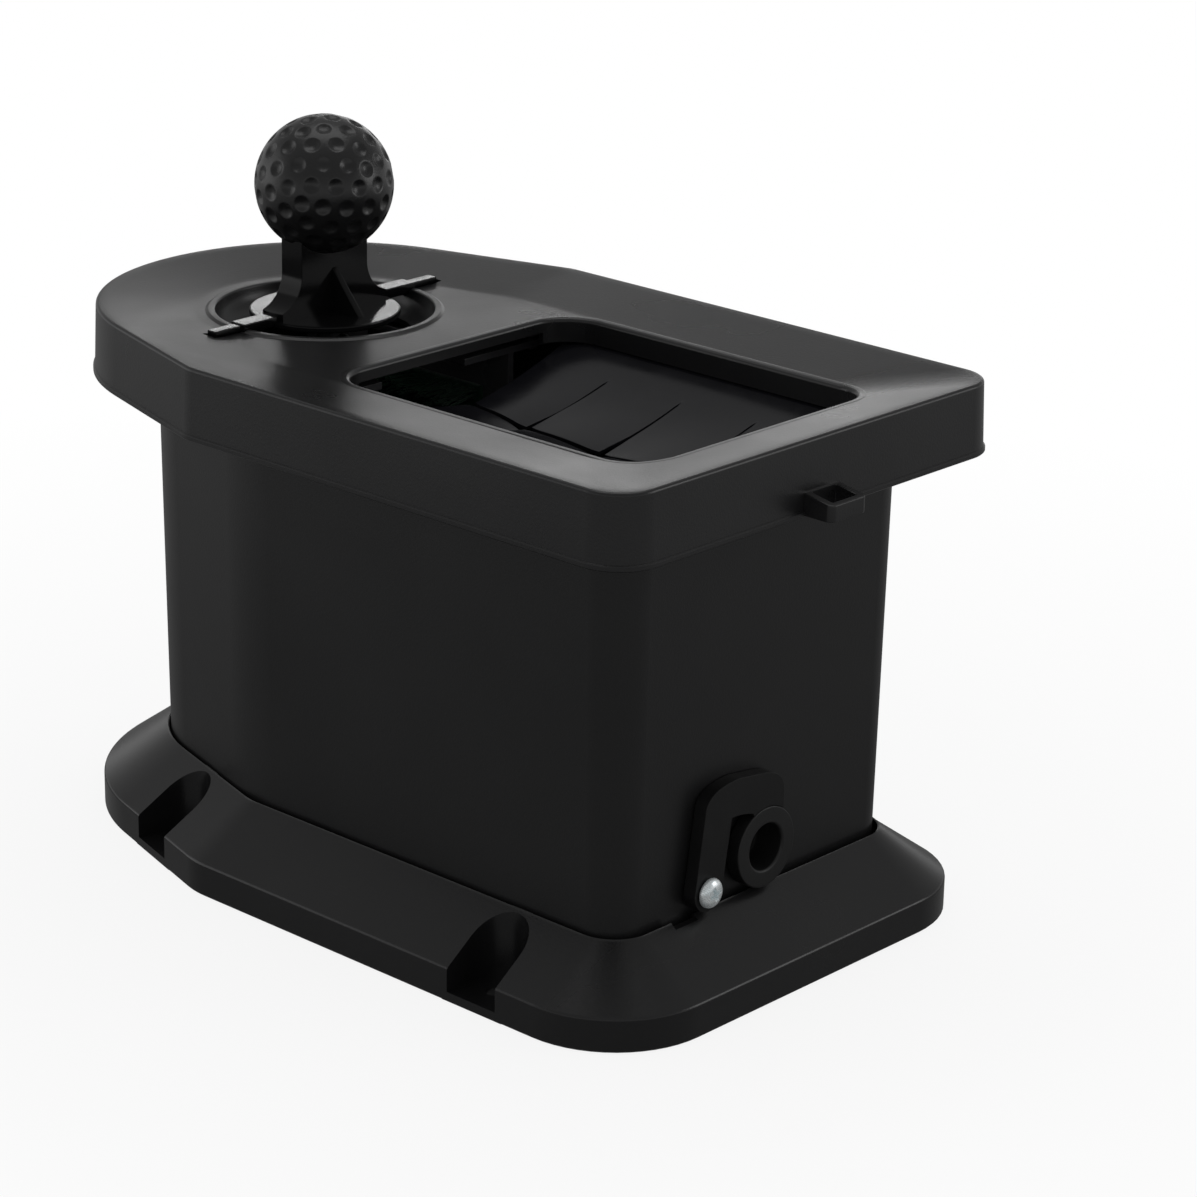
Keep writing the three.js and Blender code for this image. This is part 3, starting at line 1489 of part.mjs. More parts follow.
const housing = new THREE.Group();
housing.add(named('base_mount', makeBase(), blackPlastic));
housing.add(named('tank', makeTank(), blackPlastic));
housing.add(named('lid', makeLid(), blackPlastic));
housing.add(...numbered('tank_screw', makeTankScrews(), steel));
housing.add(named('near_splash_flap', makeFlap(-1), flapRubber));
housing.add(named('far_splash_flap', makeFlap(1), flapRubber));
housing.add(named('near_flap_strip', makeFlapStrip(-1), greyPlastic));
housing.add(named('far_flap_strip', makeFlapStrip(1), greyPlastic));
housing.add(...numbered('flap_screw', makeFlapScrews(), steel));
housing.add(named('near_brush_carrier', makeCarrier(-1), greyPlastic));
housing.add(named('far_brush_carrier', makeCarrier(1), greyPlastic));
housing.add(...numbered('carrier_screw', makeCarrierScrews(), steel));
housing.add(named('near_ball_bristles', makeBallBristles(-1), greenNylon));
housing.add(named('far_ball_bristles', makeBallBristles(1), greenNylon));
housing.add(named('club_brush', makeClubBrush(), greenNylon));
housing.add(named('plug_strap', makeStrap(), blackRubber));
housing.add(named('strap_screw', makeStrapScrew(), zinc));

const rocker = new THREE.Group();
rocker.add(named('ball_knob', makeKnob(), knobPlastic));
rocker.add(named('handle_yoke', makeYoke(), blackPlastic));
rocker.add(named('ball_paddle', makePaddle(), greyPlastic));
rocker.add(...numbered('paddle_screw', makePaddleScrews(), steel));

const drainPlug = new THREE.Group();
drainPlug.add(named('drain_plug', makePlug(), blackRubber));

const group = new THREE.Group();
group.add(housing, rocker, drainPlug);

export default group;
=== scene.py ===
"""Golf ball washer: smooth plastic mouldings, rubber flaps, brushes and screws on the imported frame."""

import bpy
import random
from math import atan, cos, pi, radians, sin, sqrt, tan
from mathutils import Matrix, Vector


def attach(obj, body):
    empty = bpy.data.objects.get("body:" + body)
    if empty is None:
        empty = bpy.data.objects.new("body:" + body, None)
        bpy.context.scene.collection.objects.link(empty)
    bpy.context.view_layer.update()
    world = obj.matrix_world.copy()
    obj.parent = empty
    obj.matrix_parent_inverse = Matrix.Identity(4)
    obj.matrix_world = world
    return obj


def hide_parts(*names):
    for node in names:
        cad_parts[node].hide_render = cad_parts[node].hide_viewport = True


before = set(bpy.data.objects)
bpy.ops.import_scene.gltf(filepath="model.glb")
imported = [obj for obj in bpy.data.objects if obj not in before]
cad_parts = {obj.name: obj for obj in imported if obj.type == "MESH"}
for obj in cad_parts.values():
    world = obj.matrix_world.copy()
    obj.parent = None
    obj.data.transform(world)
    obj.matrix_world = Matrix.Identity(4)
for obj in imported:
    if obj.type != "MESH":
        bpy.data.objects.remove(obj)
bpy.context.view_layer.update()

# Meshes are made in millimetres; node trees, camera and lamps are in metres
MM = 0.001
CLEARANCE = 0.3
SIDES = (-1, 1)

# Plan outlines: square front with round corners, straight sides, knees and a tapering round rear
REAR_X = -68.7
TAPER = radians(16.6)
LID = dict(front=130.3, half=82.5, rear=71.0, corner=14.0, knee=14)
BASE = dict(front=133.3, half=82.5, rear=71.0, corner=33.0, knee=30)
TANK = dict(front=110.6, half=60.6, rear=49.6, corner=11.0, knee=75)

# Lid: skirt with a bead at its foot, rim, dish, and flange round the opening
SKIRT_BOTTOM = 142.5
SKIRT_LEAN = tan(radians(2))
BEAD = 0.5
LID_TOP = 164.0
LID_WALL = 2.4
RIM_R = 1.0
DISH = 3.6
DISH_START, DISH_END = 2.3, 32.0
DISH_BEND = 0.07
DISH_CORNER = 12.0
DISH_KNEE_GROWTH = 1.9
LID_FLOOR = LID_TOP - DISH
LID_UNDER = LID_FLOOR - LID_WALL
RIB_TOP = LID_UNDER + 1.2
FLANGE_BOTTOM = LID_FLOOR - 7.4
OPENING = dict(rear=-13.7, front=107.7, half=49.5, corner=13)
LIP_R, LIP_RISE = 1.3, 0.07
RING_FOOT_R, RING_CREST_R, RING_RISE = 36.8, 34.4, 0.7
BOWL_HOLE_R, BOWL_DEPTH, BOWL_WALL = 27.0, 7.0, 1.8

# Tank: its outline is measured at the height of the base's collar, and it widens upwards
TANK_OUTLINE_Z = 25
TANK_LEAN = tan(radians(0.75))
TANK_WALL = 2.6
TANK_FOOT = 6.8
TANK_TOP = LID_UNDER - CLEARANCE

# Base: rim, slope, collar round the tank, and U-shaped notches for the screws
BASE_RIM, BASE_TOP = 10.5, 25.2
BASE_EDGE_R = 1.4
BASE_WALL = 2.6
COLLAR = 20.9
NOTCH_R, NOTCH_REACH, NOTCH_FLOOR = 9.5, 19.4, 3
NOTCH_WALL = 2.2
FRONT_NOTCH_X, REAR_NOTCH_X = 76.5, -69.45

# Rocking handle
AXLE_Z = 161.7
BAR_R, BAR_END_R = 3, 1.9
BAR_TOP = 0.36
DISC_TOP = AXLE_Z - 0.7
DISC_THICK = 2
BLADE_HALF, BLADE_FLARE, BLADE_HALF_THICK = 13.7, 10.8, 4.5
KNOB_R, KNOB_Z = 21.3, 199.7

# Drain plug, its strap and the strap's screw, as Y and Z on the tank's front
DRAIN = (-2, 38)
STRAP_SCREW = (-26.7, 31.6)
DRAIN_HOLE_R, PLUG_R = 8.9, 12.3
STRAP_TOP, STRAP_THICK = 62.9, 4.4
STRAP_HOLE_R = 2.2

# Splash flaps, and the screws on one side of the middle plane as X and Y
FLAP_REAR, FLAP_FRONT = -12.6, 104.5
FLAP_ROOT_Y, FLAP_CLAMPED_Y = 49.5, 55.5
FLAP_SCREWS = [(-4.6 + 101.1 * i / 3, 52.5) for i in range(4)]
CARRIER_SCREWS = [(-31, 52), (-89.5, 33)]
TANK_SCREWS = [(92, 52.84), (-44, 52.84)]


# -------- camera

def linked(name, data):
    """New object in the scene, for a mesh, a lamp or the camera."""
    obj = bpy.data.objects.new(name, data)
    bpy.context.scene.collection.objects.link(obj)
    return obj


def photo_camera():
    """Camera fitted to the photograph, whose focal length is in the photograph's pixels."""
    azimuth, elevation, roll = radians(42.42), radians(19.66), radians(1.06)
    focal_pixels, photo_pixels, sensor_mm = 3860.6, 1197, 36
    right = Vector((cos(azimuth), sin(azimuth), 0))
    back = Vector((sin(azimuth) * cos(elevation), -cos(azimuth) * cos(elevation), sin(elevation)))
    up = back.cross(right)
    across = cos(roll) * right + sin(roll) * up
    above = -sin(roll) * right + cos(roll) * up
    data = bpy.data.cameras.new("photo_camera")
    data.sensor_width = sensor_mm
    data.lens = focal_pixels / photo_pixels * sensor_mm
    data.clip_start = 0.05
    data.clip_end = 50
    camera = linked("photo_camera", data)
    eye = Vector((0.76638, -0.78715, 0.47656))
    camera.matrix_world = Matrix.Translation(eye) @ Matrix((across, above, back)).transposed().to_4x4()
    bpy.context.scene.camera = camera


photo_camera()


# -------- mesh making

def new_object(name, points, faces):
    mesh = bpy.data.meshes.new(name)
    mesh.from_pydata([(x * MM, y * MM, z * MM) for x, y, z in points], [], faces)
    mesh.update()
    return linked(name, mesh)


def modified(obj, kind, **settings):
    """Adds a live modifier with its settings."""
    modifier = obj.modifiers.new(kind.lower(), kind)
    for key, value in settings.items():
        setattr(modifier, key, value)
    return modifier


def evaluated(obj):
    """Turns the object's live modifiers into a plain mesh."""
    graph = bpy.context.evaluated_depsgraph_get()
    mesh = bpy.data.meshes.new_from_object(obj.evaluated_get(graph))
    obj.modifiers.clear()
    obj.data = mesh
    return obj


def outward(obj):
    """Turns a closed mesh so that its faces point out."""
    mesh = obj.data
    mesh.calc_loop_triangles()
    volume = 0
    for triangle in mesh.loop_triangles:
        a, b, c = (mesh.vertices[i].co for i in triangle.vertices)
        volume += a.dot(b.cross(c))
    if volume < 0:
        mesh.flip_normals()
    return obj


def loft(name, rings, closed=False):
    """Solid through rings of points: capped at both ends, or closed on itself."""
    count = len(rings[0])
    points = [p for ring in rings for p in ring]
    faces = []
    for band in range(len(rings) if closed else len(rings) - 1):
        low, high = band * count, ((band + 1) % len(rings)) * count
        for i in range(count):
            j = (i + 1) % count
            faces.append((low + i, low + j, high + j, high + i))
    if not closed:
        faces.append(tuple(reversed(range(count))))
        faces.append(tuple(range((len(rings) - 1) * count, len(rings) * count)))
    return outward(new_object(name, points, faces))


def axis_point(axis, a, b, along):
    """Point at a, b on a section and at a place along the axis: sections are YZ, XZ and XY."""
    return {"X": (along, a, b), "Y": (a, along, b), "Z": (a, b, along)}[axis]


def prism(name, outline, axis, low, high):
    rings = [[axis_point(axis, a, b, along) for a, b in outline] for along in (low, high)]
    return loft(name, rings)


def box(name, x0, x1, y0, y1, z0, z1):
    return prism(name, [(x0, y0), (x1, y0), (x1, y1), (x0, y1)], "Z", z0, z1)


def turned(name, profile, axis, a0, b0, sides):
    """Profile of (radius, place along the axis), closed over the axis or closed on itself."""
    solid = profile[0][0] == 0
    angles = [2 * pi * k / sides for k in range(sides)]
    rings = []
    for radius, along in profile[1:-1] if solid else profile:
        rings.append([axis_point(axis, a0 + radius * cos(t), b0 + radius * sin(t), along) for t in angles])
    return loft(name, rings, closed=not solid)


def rod(name, axis, radius, low, high, a0, b0, sides=32, end_radius=None):
    end = radius if end_radius is None else end_radius
    return turned(name, [(0, low), (radius, low), (end, high), (0, high)], axis, a0, b0, sides)


def shaped(obj, add=(), cut=(), keep=()):
    """Joins solids to a solid, takes cutters away, keeps what lies inside limits, and drops them all."""
    for operation, tools in (("UNION", add), ("DIFFERENCE", cut), ("INTERSECT", keep)):
        for tool in tools:
            modified(obj, "BOOLEAN", solver="MANIFOLD", operation=operation, object=tool)
    evaluated(obj)
    for tool in (*add, *cut, *keep):
        bpy.data.objects.remove(tool)
    return obj


def rounded_edges(obj, width, segments=2, angle=38):
    modified(obj, "BEVEL", width=width * MM, segments=segments, limit_method="ANGLE",
             angle_limit=radians(angle), use_clamp_overlap=True, miter_outer="MITER_ARC")
    return evaluated(obj)


def cleaned(obj, angle=0.5):
    """Merges doubles and dissolves the needless edges of flat faces."""
    modified(obj, "WELD", merge_threshold=0.01 * MM)
    modified(obj, "DECIMATE", decimate_type="DISSOLVE", angle_limit=radians(angle))
    return evaluated(obj)


def merged(name, pieces):
    """One object from several, with their faces kept as they are."""
    points, faces = [], []
    for obj in pieces:
        start = len(points)
        points += [tuple(v.co / MM) for v in obj.data.vertices]
        faces += [tuple(start + i for i in polygon.vertices) for polygon in obj.data.polygons]
        bpy.data.objects.remove(obj)
    return new_object(name, points, faces)


def piece(obj, body, material, nodes, smooth=34):
    """Finishes a piece: material, smooth shading up to an angle, its body and its nodes."""
    obj.data.materials.clear()
    obj.data.materials.append(material)
    obj.data.polygons.foreach_set("use_smooth", [True] * len(obj.data.polygons))
    obj.data.set_sharp_from_angle(angle=radians(smooth))
    modified(obj, "WEIGHTED_NORMAL", keep_sharp=True)
    evaluated(obj)
    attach(obj, body)
    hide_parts(*nodes)


# -------- outlines

def spread(total, steps, first=0):
    """Even steps up to a total, from 0 or from a later step."""
    return [total * i / steps for i in range(first, steps + 1)]


def arc(x, y, radius, start, end, steps):
    return [(x + radius * cos(start + t), y + radius * sin(start + t)) for t in spread(end - start, steps)]


def knee_vertex(half, radius):
    """X at which a straight side would meet the tapering one."""
    return REAR_X + (half * cos(TAPER) - radius) / sin(TAPER)


def plan_outline(size, inset, corner_steps=14, rear_steps=56):
    """Square front with round corners, straight sides and a tapering round rear."""
    radius, half = size["rear"] - inset, size["half"] - inset
    corner = max(size["corner"] - inset, 0.6)
    x, y = size["front"] - inset - corner, half - corner
    knee = max(size["knee"] - inset * 0.4, 2.0)
    knee_x = knee_vertex(half, radius) + knee * tan(TAPER / 2)
    knee_arc = arc(knee_x, half - knee, knee, pi / 2, pi / 2 + TAPER, 6)
    points = arc(x, -y, corner, -pi / 2, 0, corner_steps)
    points += arc(x, y, corner, 0, pi / 2, corner_steps)
    points += knee_arc
    points += arc(REAR_X, 0, radius, pi / 2 + TAPER, 3 * pi / 2 - TAPER, rear_steps)
    points += [(px, -py) for px, py in reversed(knee_arc)]
    return points


def plan_ring(size, inset, z):
    return [(x, y, z) for x, y in plan_outline(size, inset)]


def opening_ring(offset, z, steps=12):
    radius = OPENING["corner"] + offset
    x0 = OPENING["rear"] - offset + radius
    x1 = OPENING["front"] + offset - radius
    y = OPENING["half"] + offset - radius
    corners = ((x1, -y, -pi / 2), (x1, y, 0), (x0, y, pi / 2), (x0, -y, pi))
    outline = [p for cx, cy, start in corners for p in arc(cx, cy, radius, start, start + pi / 2, steps)]
    return [(px, py, z) for px, py in outline]


def smoothstep(value, low, high):
    t = min(max((value - low) / (high - low), 0), 1)
    return t * t * (3 - 2 * t)


def mirrored(places):
    """Each place on the near side and then on the far side."""
    return [(x, side * y) for x, y in places for side in SIDES]


# -------- node trees

def tree_node(tree, kind, inputs=None, **settings):
    """New node with its settings, whose inputs are other nodes' sockets or plain values."""
    node = tree.nodes.new(kind)
    for key, value in settings.items():
        setattr(node, key, value)
    for key, value in (inputs or {}).items():
        if isinstance(value, bpy.types.NodeSocket):
            tree.links.new(value, node.inputs[key])
        else:
            node.inputs[key].default_value = value
    return node


def math_of(tree, operation, a, b):
    return tree_node(tree, "ShaderNodeMath", {0: a, 1: b}, operation=operation).outputs[0]


def ranged(tree, value, low, high, to_low, to_high):
    node = tree_node(tree, "ShaderNodeMapRange", {
        "Value": value, "From Min": low, "From Max": high, "To Min": to_low, "To Max": to_high})
    return node.outputs["Result"]


def noise(tree, place, scale, detail=3.0, roughness=0.5, distortion=0.0):
    node = tree_node(tree, "ShaderNodeTexNoise", {
        "Vector": place, "Scale": scale,
        "Detail": detail, "Roughness": roughness, "Distortion": distortion})
    return node.outputs["Fac"]


def stretched(tree, place, scale, turn=(0, 0, 0)):
    node = tree_node(tree, "ShaderNodeMapping", {"Vector": place, "Scale": scale, "Rotation": turn})
    return node.outputs["Vector"]


# -------- materials

def new_material(name):
    material = bpy.data.materials.new(name)
    material.use_nodes = True
    tree = material.node_tree
    place = tree.nodes.new("ShaderNodeTexCoord").outputs["Object"]
    return material, tree, tree.nodes["Principled BSDF"], place


def surface(tree, shader, colours, mix, rough, height, grain):
    """Colour between two colours, roughness and fine relief of a shader."""
    first, second = colours
    colour = tree_node(tree, "ShaderNodeMix", {"Factor": mix, "A": (*first, 1), "B": (*second, 1)},
                       data_type="RGBA")
    relief = tree_node(tree, "ShaderNodeBump", {"Height": height, "Distance": grain})
    tree.links.new(colour.outputs["Result"], shader.inputs["Base Color"])
    tree.links.new(rough, shader.inputs["Roughness"])
    tree.links.new(relief.outputs["Normal"], shader.inputs["Normal"])


def moulded_plastic(name, colours, rough, gloss=0.5, grain=0.00004, wave=0.0):
    """Black moulding: fine grain, broad changes of gloss, faint scuffs and a slightly wavy wall."""
    material, tree, shader, place = new_material(name)
    broad = noise(tree, place, 14, 3, 0.5, 0.6)
    fine = noise(tree, place, 1500, 2, 0.6)
    scuffs = noise(tree, stretched(tree, place, (40, 900, 90), (0.3, 0.2, 0.7)), 3, 5, 0.75)
    dulled = ranged(tree, scuffs, 0.6, 0.85, 0, 0.015)
    roughness = math_of(tree, "ADD", ranged(tree, broad, 0.3, 0.7, *rough), dulled)
    height = fine
    if wave:
        swell = noise(tree, place, 26, 1, 0.4)
        height = math_of(tree, "ADD", fine, ranged(tree, swell, 0, 1, 0, wave))
    surface(tree, shader, colours, broad, roughness, height, grain)
    shader.inputs["Specular IOR Level"].default_value = gloss
    return material


def soft_rubber(name, colours, rough, gloss, grain=0.00003):
    """Rubber: dull skin with fine pits, bloom in patches and faint flow lines."""
    material, tree, shader, place = new_material(name)
    bloom = noise(tree, place, 60, 4, 0.6, 0.8)
    pits = noise(tree, place, 2600, 2, 0.6)
    flow = noise(tree, stretched(tree, place, (20, 120, 20)), 4, 3, 0.5)
    surface(tree, shader, colours, ranged(tree, bloom, 0.4, 0.75, 0, 1),
            ranged(tree, bloom, 0.3, 0.75, *rough), math_of(tree, "ADD", pits, flow), grain)
    shader.inputs["Specular IOR Level"].default_value = gloss
    return material


def plated_steel(name, colours, rough, metal=1.0):
    """Plated steel: turning marks and a faint tint in patches."""
    material, tree, shader, place = new_material(name)
    patches = noise(tree, place, 300, 3, 0.6)
    marks = noise(tree, stretched(tree, place, (200, 2600, 2600)), 2, 2, 0.5)
    surface(tree, shader, colours, ranged(tree, patches, 0.35, 0.7, 0, 1),
            ranged(tree, marks, 0.3, 0.7, *rough), marks, 0.00001)
    shader.inputs["Metallic"].default_value = metal
    return material


def bristle_nylon(name, colours, rough):
    """Nylon filament: colour varies from strand to strand, with a soft shine."""
    material, tree, shader, place = new_material(name)
    strands = noise(tree, stretched(tree, place, (900, 60, 900)), 1, 2, 0.5)
    surface(tree, shader, colours, ranged(tree, strands, 0.3, 0.7, 0, 1),
            ranged(tree, strands, 0.3, 0.7, *rough), strands, 0.00002)
    shader.inputs["Sheen Weight"].default_value = 0.1
    return material


lid_plastic = moulded_plastic(
    "lid_moulding", ((0.006, 0.006, 0.0064), (0.008, 0.008, 0.0084)), (0.25, 0.36), wave=3.0)
tank_plastic = moulded_plastic(
    "tank_moulding", ((0.0052, 0.0052, 0.0055), (0.0066, 0.0066, 0.0069)), (0.3, 0.4), wave=2.0)
base_plastic = moulded_plastic(
    "base_moulding", ((0.0058, 0.0058, 0.0061), (0.0072, 0.0072, 0.0075)), (0.2, 0.28))
knob_plastic = moulded_plastic(
    "knob_moulding", ((0.006, 0.006, 0.0063), (0.008, 0.008, 0.0083)), (0.26, 0.34))
handle_plastic = moulded_plastic(
    "handle_moulding", ((0.0034, 0.0034, 0.0036), (0.0042, 0.0042, 0.0044)), (0.1, 0.15), 0.16, 0.00001)
# Painted light: the carriers, strips and cradle are coloured paler than the other black mouldings, standing
# in for light that falls on their ledges inside the tank
painted_light_inner_plastic = moulded_plastic(
    "inner_moulding_painted_light", ((0.036, 0.036, 0.038), (0.046, 0.046, 0.048)), (0.24, 0.32))
strap_rubber = soft_rubber(
    "strap_rubber", ((0.0044, 0.0044, 0.0046), (0.0058, 0.0058, 0.006)), (0.42, 0.52), 0.3)
plug_rubber = soft_rubber(
    "plug_rubber", ((0.005, 0.005, 0.0052), (0.0064, 0.0064, 0.0066)), (0.4, 0.5), 0.45)
flap_rubber = soft_rubber(
    "flap_rubber", ((0.0048, 0.0048, 0.006), (0.0072, 0.0072, 0.0088)), (0.14, 0.24), 0.33, 0.00001)
brush_nylon = bristle_nylon(
    "green_bristles", ((0.002, 0.018, 0.007), (0.004, 0.036, 0.013)), (0.4, 0.55))
zinc_plate = plated_steel(
    "bright_zinc", ((0.92, 0.96, 0.97), (0.84, 0.92, 0.94)), (0.2, 0.32), 0.7)
plain_steel = plated_steel(
    "plain_steel", ((0.42, 0.43, 0.44), (0.36, 0.36, 0.37)), (0.26, 0.4))


# -------- lid

def dish_rise(inset):
    """Even slope from the rim to the floor, rounded at both ends."""
    t = min(max((inset - DISH_START) / (DISH_END - DISH_START), 0), 1)
    if t < DISH_BEND:
        fall = t * t / (2 * DISH_BEND)
    elif t > 1 - DISH_BEND:
        fall = 1 - DISH_BEND - (1 - t) ** 2 / (2 * DISH_BEND)
    else:
        fall = t - DISH_BEND / 2
    return DISH * (1 - fall / (1 - DISH_BEND))


def dish_ring(inset, z):
    """Ring of the dish, with corners and knees that stay soft on the way in."""
    size = dict(LID, corner=DISH_CORNER + inset, knee=LID["knee"] + DISH_KNEE_GROWTH * inset)
    return plan_ring(size, inset, z)


def dish_inset(x, y):
    """Inset of the dish ring that passes through a place near the opening."""
    a, b = LID["front"] - x, LID["half"] - abs(y)
    if abs(a - b) >= DISH_CORNER:
        return min(a, b)
    return (a + b + sqrt(2 * DISH_CORNER ** 2 - (a - b) ** 2)) / 2 - DISH_CORNER


def skirt_inset(z):
    return BEAD + (z - SKIRT_BOTTOM) * SKIRT_LEAN


def lid_shell():
    """Out along the dish's underside, down the skirt, round the bead and back over the rim."""
    insets = [DISH_START + step for step in spread(DISH_END - DISH_START, 17)]
    rings = [dish_ring(inset, LID_UNDER + dish_rise(inset)) for inset in reversed(insets)]
    inner_top = LID_TOP - LID_WALL
    rings.append(plan_ring(LID, skirt_inset(inner_top) + LID_WALL, inner_top - LID_WALL / 2))
    inner_foot, bead_top = BEAD + LID_WALL, 1.8
    foot = [(inner_foot, 0.3), (inner_foot - 0.3, 0), (0.3, 0), (0.0, 0.3), (0.0, 1.35), (0.25, 1.65),
            (skirt_inset(SKIRT_BOTTOM + bead_top) + 0.02, bead_top)]
    rings += [plan_ring(LID, inset, SKIRT_BOTTOM + rise) for inset, rise in foot]
    for t in spread(pi / 2, 6):
        inset = skirt_inset(LID_TOP) + RIM_R * (1 - cos(t))
        rings.append(plan_ring(LID, inset, LID_TOP - RIM_R + RIM_R * sin(t)))
    rings += [dish_ring(inset, LID_FLOOR + dish_rise(inset)) for inset in insets]
    return loft("lid_cover", rings)


def opening_lip():
    """Flange down inside the opening, and a lip that lies on the dish and turns over into it."""
    def on_dish(offset, above):
        ring = opening_ring(offset, 0)
        return [(x, y, LID_FLOOR + dish_rise(dish_inset(x, y)) + above) for x, y, z in ring]

    rings = [opening_ring(1.6, FLANGE_BOTTOM), opening_ring(1.6, LID_UNDER), opening_ring(4.6, LID_UNDER)]
    buried = ((4.2, -0.7), (3.4, -0.3), (2.9, 0.0), (2.5, 0.06), (1.8, LIP_RISE))
    rings += [on_dish(offset, above) for offset, above in buried]
    rings += [on_dish(LIP_R * (1 - sin(t)), LIP_RISE - LIP_R * (1 - cos(t))) for t in spread(pi / 2, 8)]
    rings.append(opening_ring(0, FLANGE_BOTTOM))
    rear_relief = box("rear_relief", -23.7, -3.7, -39, 39, FLANGE_BOTTOM - 1, FLANGE_BOTTOM + 3.4)
    return shaped(loft("opening_lip", rings, closed=True), cut=[rear_relief])


def handle_bowl():
    """Raised ring round the handle and the bowl that falls inside it to the hole."""
    profile = [(RING_FOOT_R, LID_UNDER), (RING_FOOT_R, LID_FLOOR - 0.03)]
    for t in spread(1, 6, 1):
        profile.append((RING_FOOT_R - 1.3 * t, LID_FLOOR + RING_RISE * smoothstep(t, 0, 1)))
    for t in spread(pi / 2, 5, 1):
        profile.append((RING_CREST_R - 0.8 * sin(t), LID_FLOOR + RING_RISE - 0.65 * (1 - cos(t))))
    lip_r = RING_CREST_R - 0.9
    bowl = [(lip_r - (lip_r - BOWL_HOLE_R) * (1 - cos(t)), LID_FLOOR - BOWL_DEPTH * sin(t))
            for t in spread(pi / 2, 12, 1)]
    profile += bowl
    profile.append((BOWL_HOLE_R, LID_FLOOR - BOWL_DEPTH - BOWL_WALL))
    profile += [(r + BOWL_WALL / 2, z - BOWL_WALL) for r, z in reversed(bowl[:-1])]
    return turned("handle_bowl", profile, "Z", REAR_X, 0, 128)


def slot_cutter(radius, start, end, side):
    """Open slot with a half-round bottom for one trunnion."""
    half, top = radius + CLEARANCE, LID_TOP + 6
    outline = arc(REAR_X, AXLE_Z, half, -pi, 0, 16) + [(REAR_X + half, top), (REAR_X - half, top)]
    return prism("slot_cutter", outline, "Y", *sorted((side * start, side * end)))


def skirt_loop():
    """Square loop for a cord on the front of the skirt, with its front bar lower than its root."""
    root, front, tip, half, bar, side = 127.9, LID["front"], 139.7, 7.7, 2, 2.6
    bottom, top, tip_top, above = 142.6, 149.2, 147.4, 151
    outline = [(root, -half)] + arc(tip - bar, -half + bar, bar, -pi / 2, 0, 6)
    outline += arc(tip - bar, half - bar, bar, 0, pi / 2, 6) + [(root, half)]
    loop = prism("skirt_loop", outline, "Z", bottom, top)
    gap = box("gap", front, tip - bar, -half + side, half - side, bottom - 1.6, above)
    wedge = [(root - 1, top), (front, top), (tip + 1, tip_top), (tip + 1, above), (root - 1, above)]
    slope = prism("slope", wedge, "Y", -9, 9)
    return rounded_edges(shaped(loop, cut=[gap, slope]), 0.45)


def tank_inset(z):
    return (TANK_OUTLINE_Z - z) * TANK_LEAN


def tank_ring(z, extra=0.0):
    return plan_ring(TANK, tank_inset(z) + extra, z)


def tank_front(z):
    """X of the tank's front wall at a height."""
    return TANK["front"] - tank_inset(z)


def locating_rib():
    """Rib under the lid that drops inside the tank's rim."""
    bottom, outer, inner = TANK_TOP - 7, 2.9, 4.4
    section = ((bottom, outer), (RIB_TOP, outer), (RIB_TOP, inner), (bottom, inner))
    return loft("locating_rib", [tank_ring(z, extra) for z, extra in section], closed=True)


def lid_hook(x, side):
    """Barbed hook that snaps under the step of the tank's rim."""
    face = TANK["half"] - tank_inset(TANK_TOP) + 1.3
    low, barb = LID_UNDER - 8.6, TANK_TOP - 5 - CLEARANCE
    back = face + 2
    section = ((back, RIB_TOP), (face, RIB_TOP), (face, barb), (face - 1.2, barb), (face, low), (back, low))
    return prism("lid_hook", [(side * y, z) for y, z in section], "X", x - 7, x + 7)


def hanging_boss(x, y, radius, hole, bottom):
    profile = [(hole, bottom), (radius, bottom), (radius, RIB_TOP), (hole, RIB_TOP)]
    return turned("boss", profile, "Z", x, y, 24)


def make_lid():
    lid = lid_shell()
    below, above = LID_UNDER - 3, LID_TOP + 2
    opening = loft("opening", [opening_ring(2.3, below), opening_ring(2.3, above)])
    hole = rod("hole", "Z", RING_FOOT_R - 1, below, above, REAR_X, 0, 128)
    lid = shaped(lid, cut=[opening, hole])
    half, bottom, top = 5.2, LID_FLOOR - 5.4, LID_FLOOR - 1.2
    saddles, slots = [], []
    for side in SIDES:
        low, high = sorted((side * RING_CREST_R, side * 48))
        saddles.append(box("saddle", REAR_X - half, REAR_X + half, low, high, bottom, top))
    lid = shaped(lid, add=[handle_bowl(), *saddles])
    for side in SIDES:
        slots.append(slot_cutter(BAR_R, 25.2, 36.3, side))
        slots.append(slot_cutter(BAR_END_R, 36, 47.7, side))
        slots.append(slot_cutter(2.6, 43.1, 47.7, side))
    lid = cleaned(shaped(lid, cut=slots), 0.05)
    extras = [opening_lip(), locating_rib(), skirt_loop()]
    extras += [lid_hook(x, side) for x in (70, -10) for side in SIDES]
    extras += [hanging_boss(x, y, 3, 1.5, FLANGE_BOTTOM) for x, y in mirrored(FLAP_SCREWS)]
    extras += [hanging_boss(x, y, 3.6, 1.8, 150.1) for x, y in mirrored(CARRIER_SCREWS)]
    return merged("lid_cover", [lid, *extras])


# -------- tank and base

